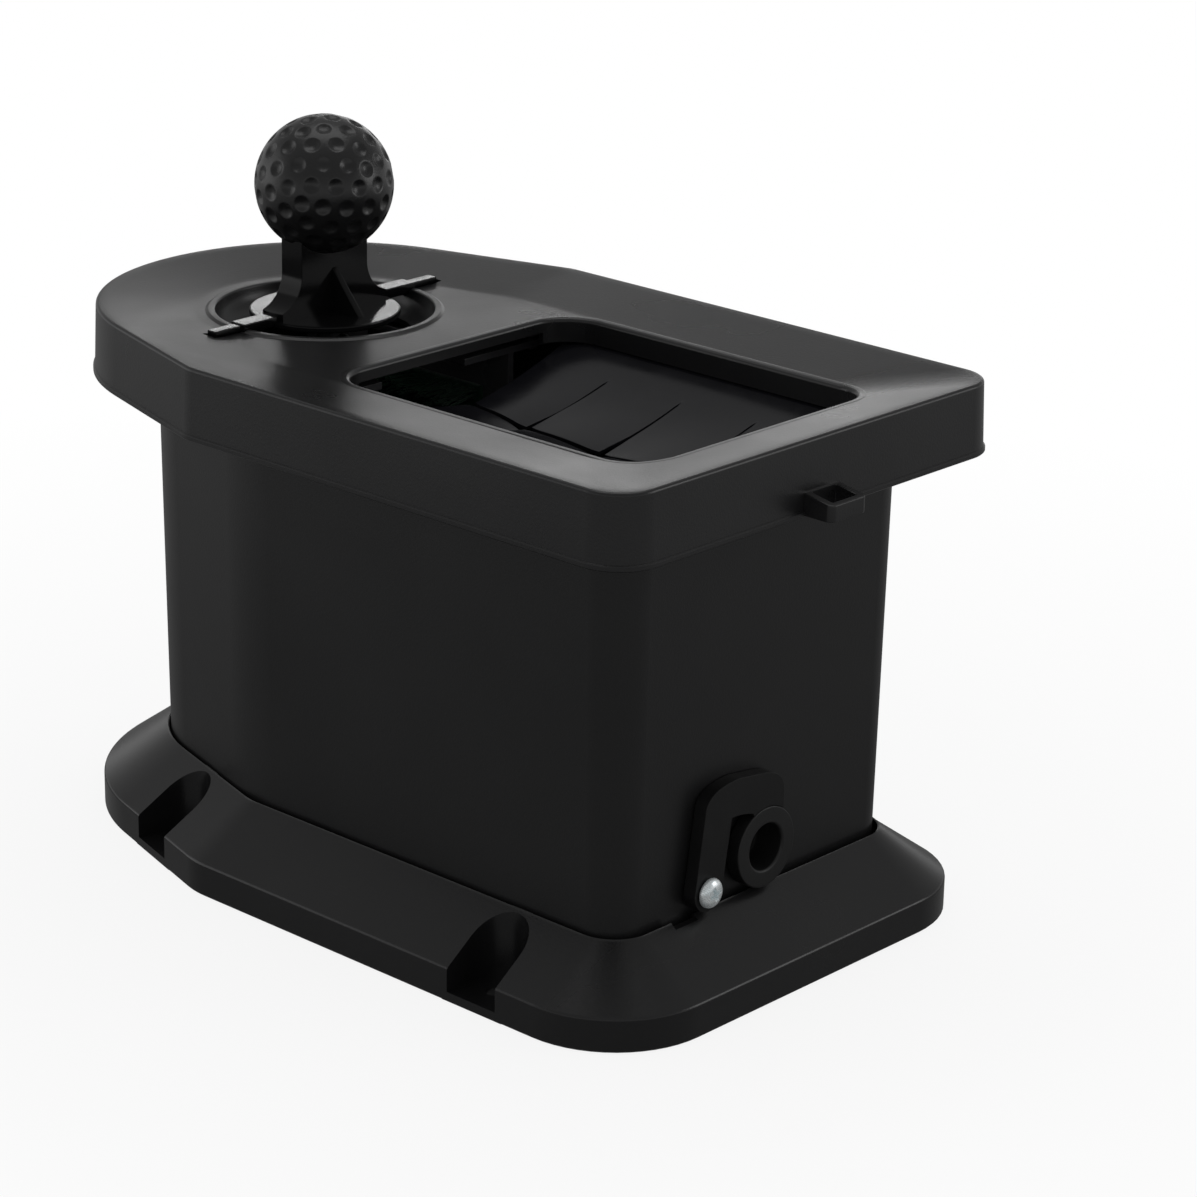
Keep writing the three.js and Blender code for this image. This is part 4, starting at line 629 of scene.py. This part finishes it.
def make_tank():
    """Tub with a groove under its rim for the hooks, the drain hole and the bosses inside."""
    top = TANK_TOP
    outside = [(5.3, 1.6), (5.7, 0.8), (TANK_FOOT, 0), (TANK_OUTLINE_Z, 0), (80, 0), (top - 5, 0),
               (top - 5, -1), (top - 3, -1), (top - 2, 0), (top - 0.3, 0), (top, 0.3), (top, 2.3)]
    inside = [(top - 0.3, TANK_WALL), (80, TANK_WALL), (11.3, TANK_WALL), (9.2, 3.2), (8.3, 5.2)]
    shell = loft("tank_shell", [tank_ring(z, extra) for z, extra in outside + inside])
    front = tank_front(DRAIN[1])
    back = front - TANK_WALL
    shell = shaped(shell, add=[
        rod("drain_boss", "X", 12.5, back - 2.5, front - 1.3, *DRAIN, 48),
        rod("screw_boss", "X", 4.4, back - 9, front - 1.3, *STRAP_SCREW, 24),
    ], cut=[
        rod("drain_hole", "X", DRAIN_HOLE_R, back - 4, front + 1, *DRAIN, 48),
        rod("screw_hole", "X", STRAP_HOLE_R, back - 6.4, front + 1, *STRAP_SCREW, 24),
    ])
    extras = [rod("foot_boss", "Z", 4.2, TANK_FOOT, 17.3, x, y, 24, 4.0) for x, y in mirrored(TANK_SCREWS)]
    for side in SIDES:
        low, high = sorted((side * 17.3, side * 19.3))
        extras.append(rounded_edges(box("rail", 22, 88, low, high, TANK_FOOT, 10.7), 0.3))
    return merged("water_tank", [shell, *extras])


def notch_outline(place, radius):
    """U-shaped notch that runs in from the rim, turned to its place."""
    x, y, inward = place
    outside = -22
    local = [(outside, -radius)] + arc(NOTCH_REACH - NOTCH_R, 0, radius, -pi / 2, pi / 2, 24)
    local.append((outside, radius))
    along, across = cos(inward), sin(inward)
    return [(x + a * along - b * across, y + a * across + b * along) for a, b in local]


def notch_places():
    """Middle of each notch on the rim, and its direction inwards."""
    half = BASE["half"]
    rear_y = half - (knee_vertex(half, BASE["rear"]) - REAR_NOTCH_X) * tan(TAPER)
    places = []
    for side in SIDES:
        places.append((FRONT_NOTCH_X, side * half, -side * pi / 2))
        places.append((REAR_NOTCH_X, side * rear_y, -side * (pi / 2 - TAPER)))
    return places


def base_ring(inset, z):
    return plan_ring(BASE, inset, z)


def base_shell():
    """Round the rim, up the slope to the collar, down inside it and back under the slope."""
    rise = (BASE_TOP - BASE_RIM) / COLLAR
    drop = BASE_WALL * sqrt(1 + rise * rise)

    def slope(inset):
        return BASE_RIM + rise * inset

    rings = [(0.5, 0), (0, 0.5)]
    for t in spread(pi / 2 - atan(rise), 5):
        rings.append((BASE_EDGE_R * (1 - cos(t)), BASE_RIM - 0.9 + BASE_EDGE_R * sin(t) * 0.92))
    rings += [(COLLAR - 0.9, slope(COLLAR - 0.9)), (COLLAR - 0.45, BASE_TOP - 0.1),
              (COLLAR - 0.1, BASE_TOP - 0.3), (COLLAR, BASE_TOP - 0.8)]
    ledge_inset, ledge_top, ledge_bottom = 34, 5, 2.5
    collar_outer = COLLAR - BASE_WALL
    rings += [(COLLAR, ledge_top), (ledge_inset, ledge_top), (ledge_inset, ledge_bottom),
              (collar_outer, ledge_bottom), (collar_outer, slope(collar_outer) - drop),
              (BASE_WALL, slope(BASE_WALL) - drop), (BASE_WALL, 0)]
    return loft("base_shell", [base_ring(inset, z) for inset, z in rings], closed=True)


def make_base():
    shell = base_shell()
    places = notch_places()
    walls = []
    for place in places:
        envelope = loft("envelope", [base_ring(0.3, 0), base_ring(0.3, 10.3), base_ring(COLLAR, 25)])
        core = loft("core", [base_ring(COLLAR, -1), base_ring(COLLAR, 26)])
        wall = prism("notch_wall", notch_outline(place, NOTCH_R + NOTCH_WALL), "Z", 0, BASE_TOP)
        walls.append(shaped(shaped(wall, keep=[envelope]), cut=[core]))
    shell = shaped(shell, add=walls)
    cuts = [prism("well", notch_outline(place, NOTCH_R), "Z", NOTCH_FLOOR, 27) for place in places]
    hole_reach, hole_r = 9.9, 2.8
    for x, y, inward in places:
        hole = (x + hole_reach * cos(inward), y + hole_reach * sin(inward))
        cuts.append(rod("screw_hole", "Z", hole_r, -1, NOTCH_FLOOR + 1, *hole, 24))
    cuts += [rod("ledge_hole", "Z", 2.0, 1.5, 6, x, y, 24) for x, y in mirrored(TANK_SCREWS)]
    cuts.append(box("collar_gap", 110.8, 121, -39, -29.6, 23.6, 26.2))
    return rounded_edges(cleaned(shaped(shell, cut=cuts)), 0.4, 2, 36)


# -------- what geometry trees make

def geometry_tree(name, sockets, on_points=False):
    """New geometry tree with named inputs; returns it, its ends and the inputs' identifiers."""
    tree = bpy.data.node_groups.new(name, "GeometryNodeTree")
    tree.interface.new_socket("Geometry", in_out="OUTPUT", socket_type="NodeSocketGeometry")
    if on_points:
        tree.interface.new_socket("Geometry", in_out="INPUT", socket_type="NodeSocketGeometry")
    ids = {}
    for label, default in sockets.items():
        kind = "NodeSocketInt" if isinstance(default, int) else "NodeSocketFloat"
        socket = tree.interface.new_socket(label, in_out="INPUT", socket_type=kind)
        socket.default_value = default
        ids[label] = socket.identifier
    return tree, tree.nodes.new("NodeGroupInput").outputs, tree.nodes.new("NodeGroupOutput"), ids


def finish_tree(tree, out, geometry, material):
    """Ends a tree in plain geometry with its material."""
    real = tree_node(tree, "GeometryNodeRealizeInstances", {"Geometry": geometry})
    finish = tree_node(tree, "GeometryNodeSetMaterial", {"Geometry": real.outputs[0], "Material": material})
    tree.links.new(finish.outputs[0], out.inputs["Geometry"])


def grown(name, tree, ids, values, points=()):
    """Runs a geometry tree on points, or on an empty mesh, and keeps what it makes as a plain mesh."""
    obj = new_object(name, points, [])
    modifier = modified(obj, "NODES", node_group=tree)
    for label, value in values.items():
        modifier[ids[label]] = value
    return evaluated(obj)


def scaled(tree, vector, factor):
    node = tree_node(tree, "ShaderNodeVectorMath", {0: vector, "Scale": factor}, operation="SCALE")
    return node.outputs[0]


def copies(tree, points, mesh, **turned_or_scaled):
    """The mesh as an instance on every point."""
    node = tree_node(tree, "GeometryNodeInstanceOnPoints", {
        "Points": points, "Instance": mesh, **turned_or_scaled})
    return node.outputs[0]


def cylinder(tree, sides, segments, radius, length):
    node = tree_node(tree, "GeometryNodeMeshCone", {
        "Vertices": sides, "Side Segments": segments,
        "Radius Top": radius, "Radius Bottom": radius, "Depth": length})
    return node.outputs["Mesh"]


def dimpled_ball_tree():
    """Ball with a shallow dimple at every corner and face middle of a coarser ball."""
    tree, g, out, ids = geometry_tree("dimpled_ball", {
        "Radius": 0.02115, "Dimple Radius": 0.0025, "Dimple Depth": 0.0009,
        "Skin Detail": 7, "Dimple Detail": 2})
    skin, coarse = (
        tree_node(tree, "GeometryNodeMeshIcoSphere", {"Radius": g["Radius"], "Subdivisions": g[detail]})
        for detail in ("Skin Detail", "Dimple Detail"))
    place = tree_node(tree, "GeometryNodeInputPosition").outputs[0]
    way_out = tree_node(tree, "ShaderNodeVectorMath", {0: place}, operation="NORMALIZE").outputs[0]
    spots = tree_node(tree, "GeometryNodeJoinGeometry")
    for mode in ("VERTICES", "FACES"):
        middles = tree_node(tree, "GeometryNodeMeshToPoints", {"Mesh": coarse.outputs["Mesh"]}, mode=mode)
        tree.links.new(middles.outputs["Points"], spots.inputs[0])
    raised = tree_node(tree, "GeometryNodeSetPosition", {
        "Geometry": spots.outputs[0], "Position": scaled(tree, way_out, g["Radius"])})
    near = tree_node(tree, "GeometryNodeProximity", {0: raised.outputs[0]}, target_element="POINTS")
    share = math_of(tree, "DIVIDE", near.outputs["Distance"], g["Dimple Radius"])
    bowl = math_of(tree, "SUBTRACT", 1.0, math_of(tree, "MULTIPLY", share, share))
    depth = math_of(tree, "MULTIPLY", math_of(tree, "MAXIMUM", bowl, 0.0), g["Dimple Depth"])
    inwards = scaled(tree, way_out, math_of(tree, "MULTIPLY", depth, -1.0))
    pressed = tree_node(tree, "GeometryNodeSetPosition", {
        "Geometry": skin.outputs["Mesh"], "Offset": inwards})
    finish_tree(tree, out, pressed.outputs[0], knob_plastic)
    return tree, ids


def tuft_tree():
    """Rows of tufts, each a bundle of thin filaments that lean a little."""
    tree, g, out, ids = geometry_tree("brush_tufts", {
        "Length X": 0.049, "Length Y": 0.0766, "Columns": 10, "Rows": 12, "Filament Length": 0.0155,
        "Filament Radius": 0.00028, "Filaments": 16, "Tuft Radius": 0.0019, "Lean": 0.16, "Seed": 3})
    disc_sides, disc_area = 20, 3.09  # the area for a radius of 1
    grid = tree_node(tree, "GeometryNodeMeshGrid", {
        "Size X": g["Length X"], "Size Y": g["Length Y"],
        "Vertices X": g["Columns"], "Vertices Y": g["Rows"]})
    holes = tree_node(tree, "GeometryNodeMeshToPoints", {"Mesh": grid.outputs["Mesh"]})
    disc = tree_node(tree, "GeometryNodeMeshCircle", {"Vertices": disc_sides, "Radius": g["Tuft Radius"]},
                     fill_type="NGON")
    spots = copies(tree, holes.outputs["Points"], disc.outputs["Mesh"])
    discs = tree_node(tree, "GeometryNodeRealizeInstances", {"Geometry": spots})
    square = math_of(tree, "MULTIPLY", g["Tuft Radius"], g["Tuft Radius"])
    density = math_of(tree, "DIVIDE", g["Filaments"], math_of(tree, "MULTIPLY", square, disc_area))
    roots = tree_node(tree, "GeometryNodeDistributePointsOnFaces", {
        "Mesh": discs.outputs[0], "Density": density, "Seed": g["Seed"]})
    filament = cylinder(tree, 5, 2, g["Filament Radius"], g["Filament Length"])
    back = math_of(tree, "MULTIPLY", g["Lean"], -1.0)
    low, high = (tree_node(tree, "ShaderNodeCombineXYZ", {0: angle, 1: angle}).outputs[0]
                 for angle in (back, g["Lean"]))
    lean = tree_node(tree, "FunctionNodeRandomValue", {0: low, 1: high, "Seed": g["Seed"]},
                     data_type="FLOAT_VECTOR")
    sizes = tree_node(tree, "FunctionNodeRandomValue", {2: 0.9, 3: 1.0, "Seed": g["Seed"]})
    filaments = copies(tree, roots.outputs["Points"], filament,
                       Rotation=lean.outputs[0], Scale=sizes.outputs[1])
    finish_tree(tree, out, filaments, brush_nylon)
    return tree, ids


def screw_tree():
    """Pan-head screws with a cross on the points of a mesh, head down and shank up."""
    tree, g, out, ids = geometry_tree("pan_screws", {
        "Head Radius": 0.003, "Head Height": 0.0018, "Shank Radius": 0.0015, "Shank Length": 0.009}, True)

    def lowered(mesh, heights):
        depth = math_of(tree, "MULTIPLY", g["Head Height"], -heights)
        drop = tree_node(tree, "ShaderNodeCombineXYZ", {2: depth}).outputs[0]
        return tree_node(tree, "GeometryNodeTransform", {"Geometry": mesh, "Translation": drop}).outputs[0]

    face = math_of(tree, "MULTIPLY", g["Head Radius"], 0.62)
    head = tree_node(tree, "GeometryNodeMeshCone", {
        "Vertices": 28, "Radius Top": g["Head Radius"], "Radius Bottom": face, "Depth": g["Head Height"]})
    crossed = tree_node(tree, "GeometryNodeMeshBoolean", {"Mesh 1": lowered(head.outputs["Mesh"], 1.0)},
                        operation="DIFFERENCE")
    bar_width = math_of(tree, "MULTIPLY", g["Head Radius"], 0.22)
    for along, across in ((0, 1), (1, 0)):
        size = tree_node(tree, "ShaderNodeCombineXYZ", {
            along: g["Head Radius"], across: bar_width, 2: g["Head Height"]})
        bar = tree_node(tree, "GeometryNodeMeshCube", {"Size": size.outputs[0]})
        tree.links.new(lowered(bar.outputs["Mesh"], 1.15), crossed.inputs["Mesh 2"])
    shank = cylinder(tree, 20, 12, g["Shank Radius"], g["Shank Length"])
    screw = tree_node(tree, "GeometryNodeJoinGeometry")
    for part in (crossed.outputs["Mesh"], shank):
        tree.links.new(part, screw.inputs[0])
    finish_tree(tree, out, copies(tree, g["Geometry"], screw.outputs[0]), plain_steel)
    return tree, ids


BALL = dimpled_ball_tree()
TUFTS = tuft_tree()
SCREWS = screw_tree()


def make_knob():
    """Dimpled ball, turned a little from the axes."""
    ball = grown("dimpled_knob", *BALL, {})
    turn = Matrix.Rotation(radians(12), 4, "Z") @ Matrix.Rotation(radians(31.7), 4, "X")
    ball.data.transform(Matrix.Translation((REAR_X * MM, 0, KNOB_Z * MM)) @ turn)
    return ball


def make_brush(name, values, pad_size, matrix):
    """Tufts on a pad whose face lies in the XY plane, moved to its place by the matrix."""
    strands = grown(name, *TUFTS, values)
    x, y, thickness = pad_size
    pad = rounded_edges(box("pad", -x / 2, x / 2, -y / 2, y / 2, -thickness, 0), 0.4)
    brush = merged(name, [strands, pad])
    brush.data.transform(matrix)
    return brush


def make_screws(name, places, face, sizes):
    """Screws with their heads just below a face, with their sizes in the order of the labels."""
    labels = ("Head Radius", "Head Height", "Shank Radius", "Shank Length")
    values = {label: size * MM for label, size in zip(labels, sizes)}
    return grown(name, *SCREWS, values, [(x, y, face - CLEARANCE) for x, y in places])


# -------- rocking handle

def trunnion_bar(radius, end):
    """Bar along Y with a half-round underside and a flat top."""
    top = AXLE_Z + BAR_TOP * radius
    outline = arc(REAR_X, AXLE_Z, radius, -pi, 0, 20) + [(REAR_X + radius, top), (REAR_X - radius, top)]
    return rounded_edges(prism("trunnion", outline, "Y", -end, end), 0.3, 3, 50)


def blade_outline(foot, top):
    """Upright plate that flares to its foot in a quarter round on both sides."""
    reach, flare_top = BLADE_HALF + BLADE_FLARE, AXLE_Z + 1.5 + BLADE_FLARE
    points = [(-BLADE_HALF, top)] + arc(-reach, flare_top, BLADE_FLARE, 0, -pi / 2, 16) + [(-reach, foot)]
    points += [(reach, foot)] + arc(reach, flare_top, BLADE_FLARE, -pi / 2, -pi, 16) + [(BLADE_HALF, top)]
    return points


def make_handle():
    """Blade into the knob, disc, gussets, stepped trunnions and the tang that holds the cradle."""
    x, half, disc_bottom = REAR_X, BLADE_HALF_THICK, DISC_TOP - DISC_THICK
    top = KNOB_Z - sqrt(KNOB_R ** 2 - BLADE_HALF ** 2) + 6
    blade = prism("handle_blade", blade_outline(disc_bottom, top), "X", x - half, x + half)
    round_limit = rod("round_limit", "Z", 22.2, disc_bottom, top + 1, x, 0, 96)
    blade = rounded_edges(shaped(blade, keep=[round_limit]), 0.6, 3, 42)
    disc = turned("disc", [
        (0, disc_bottom), (22.7, disc_bottom), (23.2, disc_bottom + 0.5), (23.2, DISC_TOP - 0.6),
        (23.05, DISC_TOP - 0.2), (22.6, DISC_TOP), (0, DISC_TOP)], "Z", x, 0, 96)
    gussets = []
    for way in SIDES:
        face, buried, foot = x + way * half, x + way * (half - 2), DISC_TOP - 1
        side = [(buried, foot), (face + way * 12, foot), (face + way * 11.4, foot + 1.4),
                (face, foot + 14.6), (buried, foot + 13.6)]
        gussets.append(rounded_edges(prism("gusset", side, "Y", -1.1, 1.1), 0.4, 3))
    trunnions = [trunnion_bar(BAR_R, 36), trunnion_bar(BAR_END_R, 46.5)]
    tang = rounded_edges(box("tang", x - 3.5, x + 3.5, -9.5, 9.5, 139, DISC_TOP - 1), 0.4)
    return merged("rocking_handle", [blade, disc, *gussets, *trunnions, tang])


# -------- drain plug, strap and screw

def make_plug():
    """Plug with a rounded ring outside the tank and a cup for a finger."""
    face = tank_front(DRAIN[1] + PLUG_R) + CLEARANCE
    outer = face + 4.7
    profile = [(0, face - 9), (7.6, face - 9), (8.1, face - 8.4), (8.6, face), (PLUG_R - 0.5, face),
               (PLUG_R, face + 0.5)]
    profile += [(PLUG_R - 0.45 + 0.45 * cos(t), outer - 0.45 + 0.45 * sin(t)) for t in spread(pi / 2, 5)]
    profile += [(7.9 - 0.9 * sin(t), outer - 0.9 + 0.9 * cos(t)) for t in spread(pi / 2, 5)]
    profile += [(6.9, outer - 8.6), (6.3, outer - 9.5), (0, outer - 9.5)]
    return turned("drain_plug_cup", profile, "X", *DRAIN, 96)


def strap_outline():
    """Strap from its screw up over the plug, as Y and Z on the tank's front."""
    def curve(p0, p1, p2):
        return [tuple((1 - t) ** 2 * a + 2 * t * (1 - t) * b + t * t * c for a, b, c in zip(p0, p1, p2))
                for t in spread(1, 10)]

    end_r = 5.9
    points = [(STRAP_SCREW[0] - end_r, STRAP_SCREW[1])]
    points += curve((-28.9, 55.5), (-28.9, STRAP_TOP), (-14.5, STRAP_TOP))
    points += curve((-3.7, 61.4), (5.3, 59.9), (5.3, 53.9))
    points += [(5.3, DRAIN[1]), DRAIN]
    points += curve((-8.15, 50.1), (-12.9, 51.6), (-17.4, 51.6))
    points += arc(*STRAP_SCREW, end_r, 0, -pi, 20)[:-1]
    return points


def make_strap():
    inner = tank_front(STRAP_TOP) + CLEARANCE
    strap = prism("strap", strap_outline(), "X", inner, inner + STRAP_THICK)
    ring_space = rod("ring_space", "X", PLUG_R + 0.1, inner - 1, inner + 6, *DRAIN, 96)
    hole = rod("hole", "X", STRAP_HOLE_R, inner - 1, inner + 6, *STRAP_SCREW, 24)
    return rounded_edges(shaped(strap, cut=[ring_space, hole]), 0.4, 3)


def cross_recess(head_top):
    """The two tapered bars of the recess for a driver, cut along X."""
    (y, z), half_length, half_width, depth = STRAP_SCREW, 2.7, 0.725, 2.1
    bars = []
    for turn in (0.35, 0.35 + pi / 2):
        rings = []
        for along, scale in ((head_top - depth, 0.45), (head_top + 0.6, 1.0)):
            a, b = half_length * scale, half_width * (0.6 + 0.4 * scale)
            corners = [(-a, -b), (a, -b), (a, b), (-a, b)]
            rings.append([(along, y + p * cos(turn) - q * sin(turn), z + p * sin(turn) + q * cos(turn))
                          for p, q in corners])
        bars.append(loft("cross", rings))
    return bars


def make_strap_screw():
    face = tank_front(STRAP_TOP) + CLEARANCE + STRAP_THICK + CLEARANCE
    shank_r, shank_length, head_r, head_height = 1.9, 12, 4.5, 2.6
    profile = [(0, face - shank_length), (shank_r, face - shank_length), (shank_r, face),
               (head_r - 0.1, face), (head_r, face + 0.3)]
    profile += [(head_r * cos(t * 0.99), face + 0.5 + 2.1 * sin(t)) for t in spread(pi / 2, 8)]
    profile.append((0, face + head_height))
    screw = turned("strap_screw_head", profile, "X", *STRAP_SCREW, 48)
    return rounded_edges(shaped(screw, cut=cross_recess(face + head_height)), 0.08, 2, 30)


# -------- splash flaps

def make_flap(side_name, side):
    """Rubber sheet with four fingers that droop from the edge of the opening to the middle."""
    middle, half_length = (FLAP_REAR + FLAP_FRONT) / 2, (FLAP_FRONT - FLAP_REAR) / 2
    pitch, reach, narrowing, slit_start = 29.3, 48.5, 7, 0.31
    thickness, root_z, fall_middle, fall_ends = 1.4, 152.6, 12.6, 5.5
    columns, rows = 12, 22
    edges = [None, *(middle + k * pitch for k in (-1, 0, 1)), None]
    chooser = random.Random(7 if side < 0 else 11)
    points, faces = [], []
    for finger in range(4):
        droop = chooser.uniform(-0.5, 0.5)
        twist = chooser.uniform(-0.7, 0.7)
        start = len(points)
        for j in range(-1, rows + 1):  # row -1 is the clamped edge
            across = max(j, 0) / rows
            slit = 0.0 if across < slit_start else 0.35 + 0.75 * smoothstep(1 - across, 0.32, 0.0)
            end = half_length - narrowing * across
            low = middle - end if edges[finger] is None else edges[finger] + slit
            high = middle + end if edges[finger + 1] is None else edges[finger + 1] - slit
            for i in range(columns + 1):
                u = i / columns
                x = low + (high - low) * u
                along = (x - middle) / half_length
                z = root_z - (fall_middle - fall_ends * along * along) * across - 1.5 * sin(pi * across)
                free = smoothstep(across, 0.3, 1.0)
                z += free * (droop + twist * (u - 0.5) + 0.8 * sin(pi * u) - 0.4)
                corner = max(0, 1 - min(u, 1 - u) * 9) if across > 0.9 else 0
                rounding = corner * 0.6 * smoothstep(across, 0.9, 1.0)
                y = FLAP_CLAMPED_Y if j < 0 else FLAP_ROOT_Y - reach * across + rounding
                points.append((x, side * y, z - 0.75))
        for j in range(rows + 1):
            for i in range(columns):
                a = start + j * (columns + 1) + i
                faces.append((a, a + 1, a + columns + 2, a + columns + 1))
    sheet = new_object(side_name + "_rubber_flap", points, faces)
    modified(sheet, "WELD", merge_threshold=0.05 * MM)
    modified(sheet, "SOLIDIFY", thickness=thickness * MM, offset=0)
    modified(sheet, "BEVEL", width=0.2 * MM, segments=2, limit_method="ANGLE", angle_limit=radians(50))
    return evaluated(sheet)


# -------- pieces

def softened_copy(name, node, width):
    """Copy of a CAD node with its doubles merged and its edges rounded."""
    return rounded_edges(cleaned(linked(name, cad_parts[node].data.copy())), width)


piece(make_lid(), "housing", lid_plastic, ["lid"], 30)
piece(make_tank(), "housing", tank_plastic, ["tank"], 30)
piece(make_base(), "housing", base_plastic, ["base_mount"], 30)
piece(make_knob(), "rocker", knob_plastic, ["ball_knob"], 60)
piece(make_handle(), "rocker", handle_plastic, ["handle_yoke"])
piece(make_plug(), "plug", plug_rubber, ["drain_plug"], 40)
piece(make_strap(), "housing", strap_rubber, ["plug_strap"])
piece(make_strap_screw(), "housing", zinc_plate, ["strap_screw"])
for side_name, side in (("near", -1), ("far", 1)):
    flap = make_flap(side_name, side)
    piece(flap, "housing", flap_rubber, [side_name + "_splash_flap"], 50)
    carrier = softened_copy(side_name + "_carrier", side_name + "_brush_carrier", 0.3)
    piece(carrier, "housing", painted_light_inner_plastic, [side_name + "_brush_carrier"])
    strip = softened_copy(side_name + "_strip", side_name + "_flap_strip", 0.25)
    piece(strip, "housing", painted_light_inner_plastic, [side_name + "_flap_strip"])
    to_ball = Matrix(((side, 0, 0), (0, 0, -side), (0, 1, 0))).to_4x4()
    pad_face = Matrix.Translation((-0.063, side * 34.3 * MM, 0.0948))
    brush = make_brush(side_name + "_ball_brush", {}, (54, 81.6, 2), pad_face @ to_ball)
    piece(brush, "housing", brush_nylon, [side_name + "_ball_bristles"], 50)
floor_brush = make_brush(
    "floor_brush",
    {"Length X": 0.058, "Length Y": 0.026, "Columns": 11, "Rows": 6, "Filament Length": 0.025, "Seed": 5},
    (66, 34, 3), Matrix.Translation((0.055, 0, 0.0116)))
piece(floor_brush, "housing", brush_nylon, ["club_brush"], 50)
paddle = softened_copy("ball_cradle", "ball_paddle", 0.3)
piece(paddle, "rocker", painted_light_inner_plastic, ["ball_paddle"])

for kind, one_side, face, sizes in (
        ("flap", FLAP_SCREWS, 148.8, (2.6, 1.5, 1.2, 8)),
        ("carrier", CARRIER_SCREWS, 147.6, (3, 1.8, 1.5, 9)),
        ("tank", TANK_SCREWS, 2.5, (3.6, 2, 1.7, 10))):
    places = mirrored(one_side)
    screws = make_screws(kind + "_screws", places, face, sizes)
    nodes = [f"{kind}_screw_{i}" for i in range(1, len(places) + 1)]
    piece(screws, "housing", plain_steel, nodes, 40)
for i in (1, 2):
    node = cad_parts[f"paddle_screw_{i}"]
    node.data.materials.clear()
    node.data.materials.append(plain_steel)


# -------- floor, light and background

def mixed(tree, amount, first, second):
    shaders = {0: amount, 1: first.outputs[0], 2: second.outputs[0]}
    return tree_node(tree, "ShaderNodeMixShader", shaders)


def make_world():
    """Plain light on the object, white behind it, and a dimmer graded surround in its reflections."""
    world = bpy.data.worlds.new("studio")
    bpy.context.scene.world = world
    world.use_nodes = True
    tree = world.node_tree
    tree.nodes.clear()
    rays = tree.nodes.new("ShaderNodeLightPath").outputs
    way = tree.nodes.new("ShaderNodeTexCoord").outputs["Generated"]
    height = tree_node(tree, "ShaderNodeSeparateXYZ", {0: way}).outputs["Z"]
    graded = ranged(tree, height, 0.05, 0.3, 0.6, 0.3)
    lighting, mirrored_sky, white = (
        tree_node(tree, "ShaderNodeBackground", {"Color": (1, 1, 1, 1), "Strength": strength})
        for strength in (0.62, graded, 1.0))
    unseen = mixed(tree, rays["Is Glossy Ray"], lighting, mirrored_sky)
    seen = math_of(tree, "MAXIMUM", rays["Is Camera Ray"], rays["Is Transmission Ray"])
    tree_node(tree, "ShaderNodeOutputWorld", {"Surface": mixed(tree, seen, unseen, white).outputs[0]})


def make_floor():
    """Pale floor that keeps the object's shadow, white further out and dimmer in reflections."""
    size, z = 4000, -0.2
    corners = [(-size, -size, z), (size, -size, z), (size, size, z), (-size, size, z)]
    floor = new_object("floor", corners, [(0, 1, 2, 3)])
    material, tree, shader, place = new_material("pale_floor")
    shader.inputs["Base Color"].default_value = (0.92, 0.92, 0.92, 1)
    shader.inputs["Roughness"].default_value = 0.7
    far = tree_node(tree, "ShaderNodeVectorMath", {0: place}, operation="LENGTH").outputs["Value"]
    rays = tree.nodes.new("ShaderNodeLightPath").outputs
    white = math_of(tree, "MULTIPLY", rays["Is Camera Ray"], ranged(tree, far, 0.2, 0.5, 0.86, 1))
    amount = math_of(tree, "MAXIMUM", white, rays["Is Glossy Ray"])
    near_part, far_part = ranged(tree, far, 0.2, 0.9, 0.15, 0.3), ranged(tree, far, 1.2, 3, 0, 0.4)
    reflected = math_of(tree, "ADD", near_part, far_part)
    strength = math_of(tree, "MAXIMUM", reflected, rays["Is Camera Ray"])
    glow = tree_node(tree, "ShaderNodeEmission", {"Strength": strength})
    both = mixed(tree, amount, shader, glow)
    tree.links.new(both.outputs[0], tree.nodes["Material Output"].inputs["Surface"])
    floor.data.materials.append(material)


def soft_lamp(name, place, target, width, height, watts):
    data = bpy.data.lights.new(name, "AREA")
    data.shape = "RECTANGLE"
    data.size, data.size_y = width, height
    data.energy = watts
    aim = Vector(target) - Vector(place)
    turn = aim.to_track_quat("-Z", "Y").to_matrix().to_4x4()
    linked(name, data).matrix_world = Matrix.Translation(place) @ turn


make_world()
make_floor()
soft_lamp("top_box", (-0.25, 0.25, 1.45), (0, 0, 0.15), 1.1, 0.8, 3.2)
soft_lamp("left_box", (-1.2, -0.75, 0.38), (0, 0, 0.1), 0.9, 1.1, 2)
soft_lamp("right_box", (1.05, 0.95, 0.55), (0, 0, 0.1), 0.6, 0.6, 2)
soft_lamp("rear_box", (-2.88, 2.64, 1.22), (-0.0687, 0, 0.163), 0.45, 0.09, 0.85)
soft_lamp("back_box", (-1.66, 2.5, 0.55), (0, 0, 0.16), 1.05, 0.5, 2.0)

bpy.context.scene.view_settings.view_transform = "Standard"
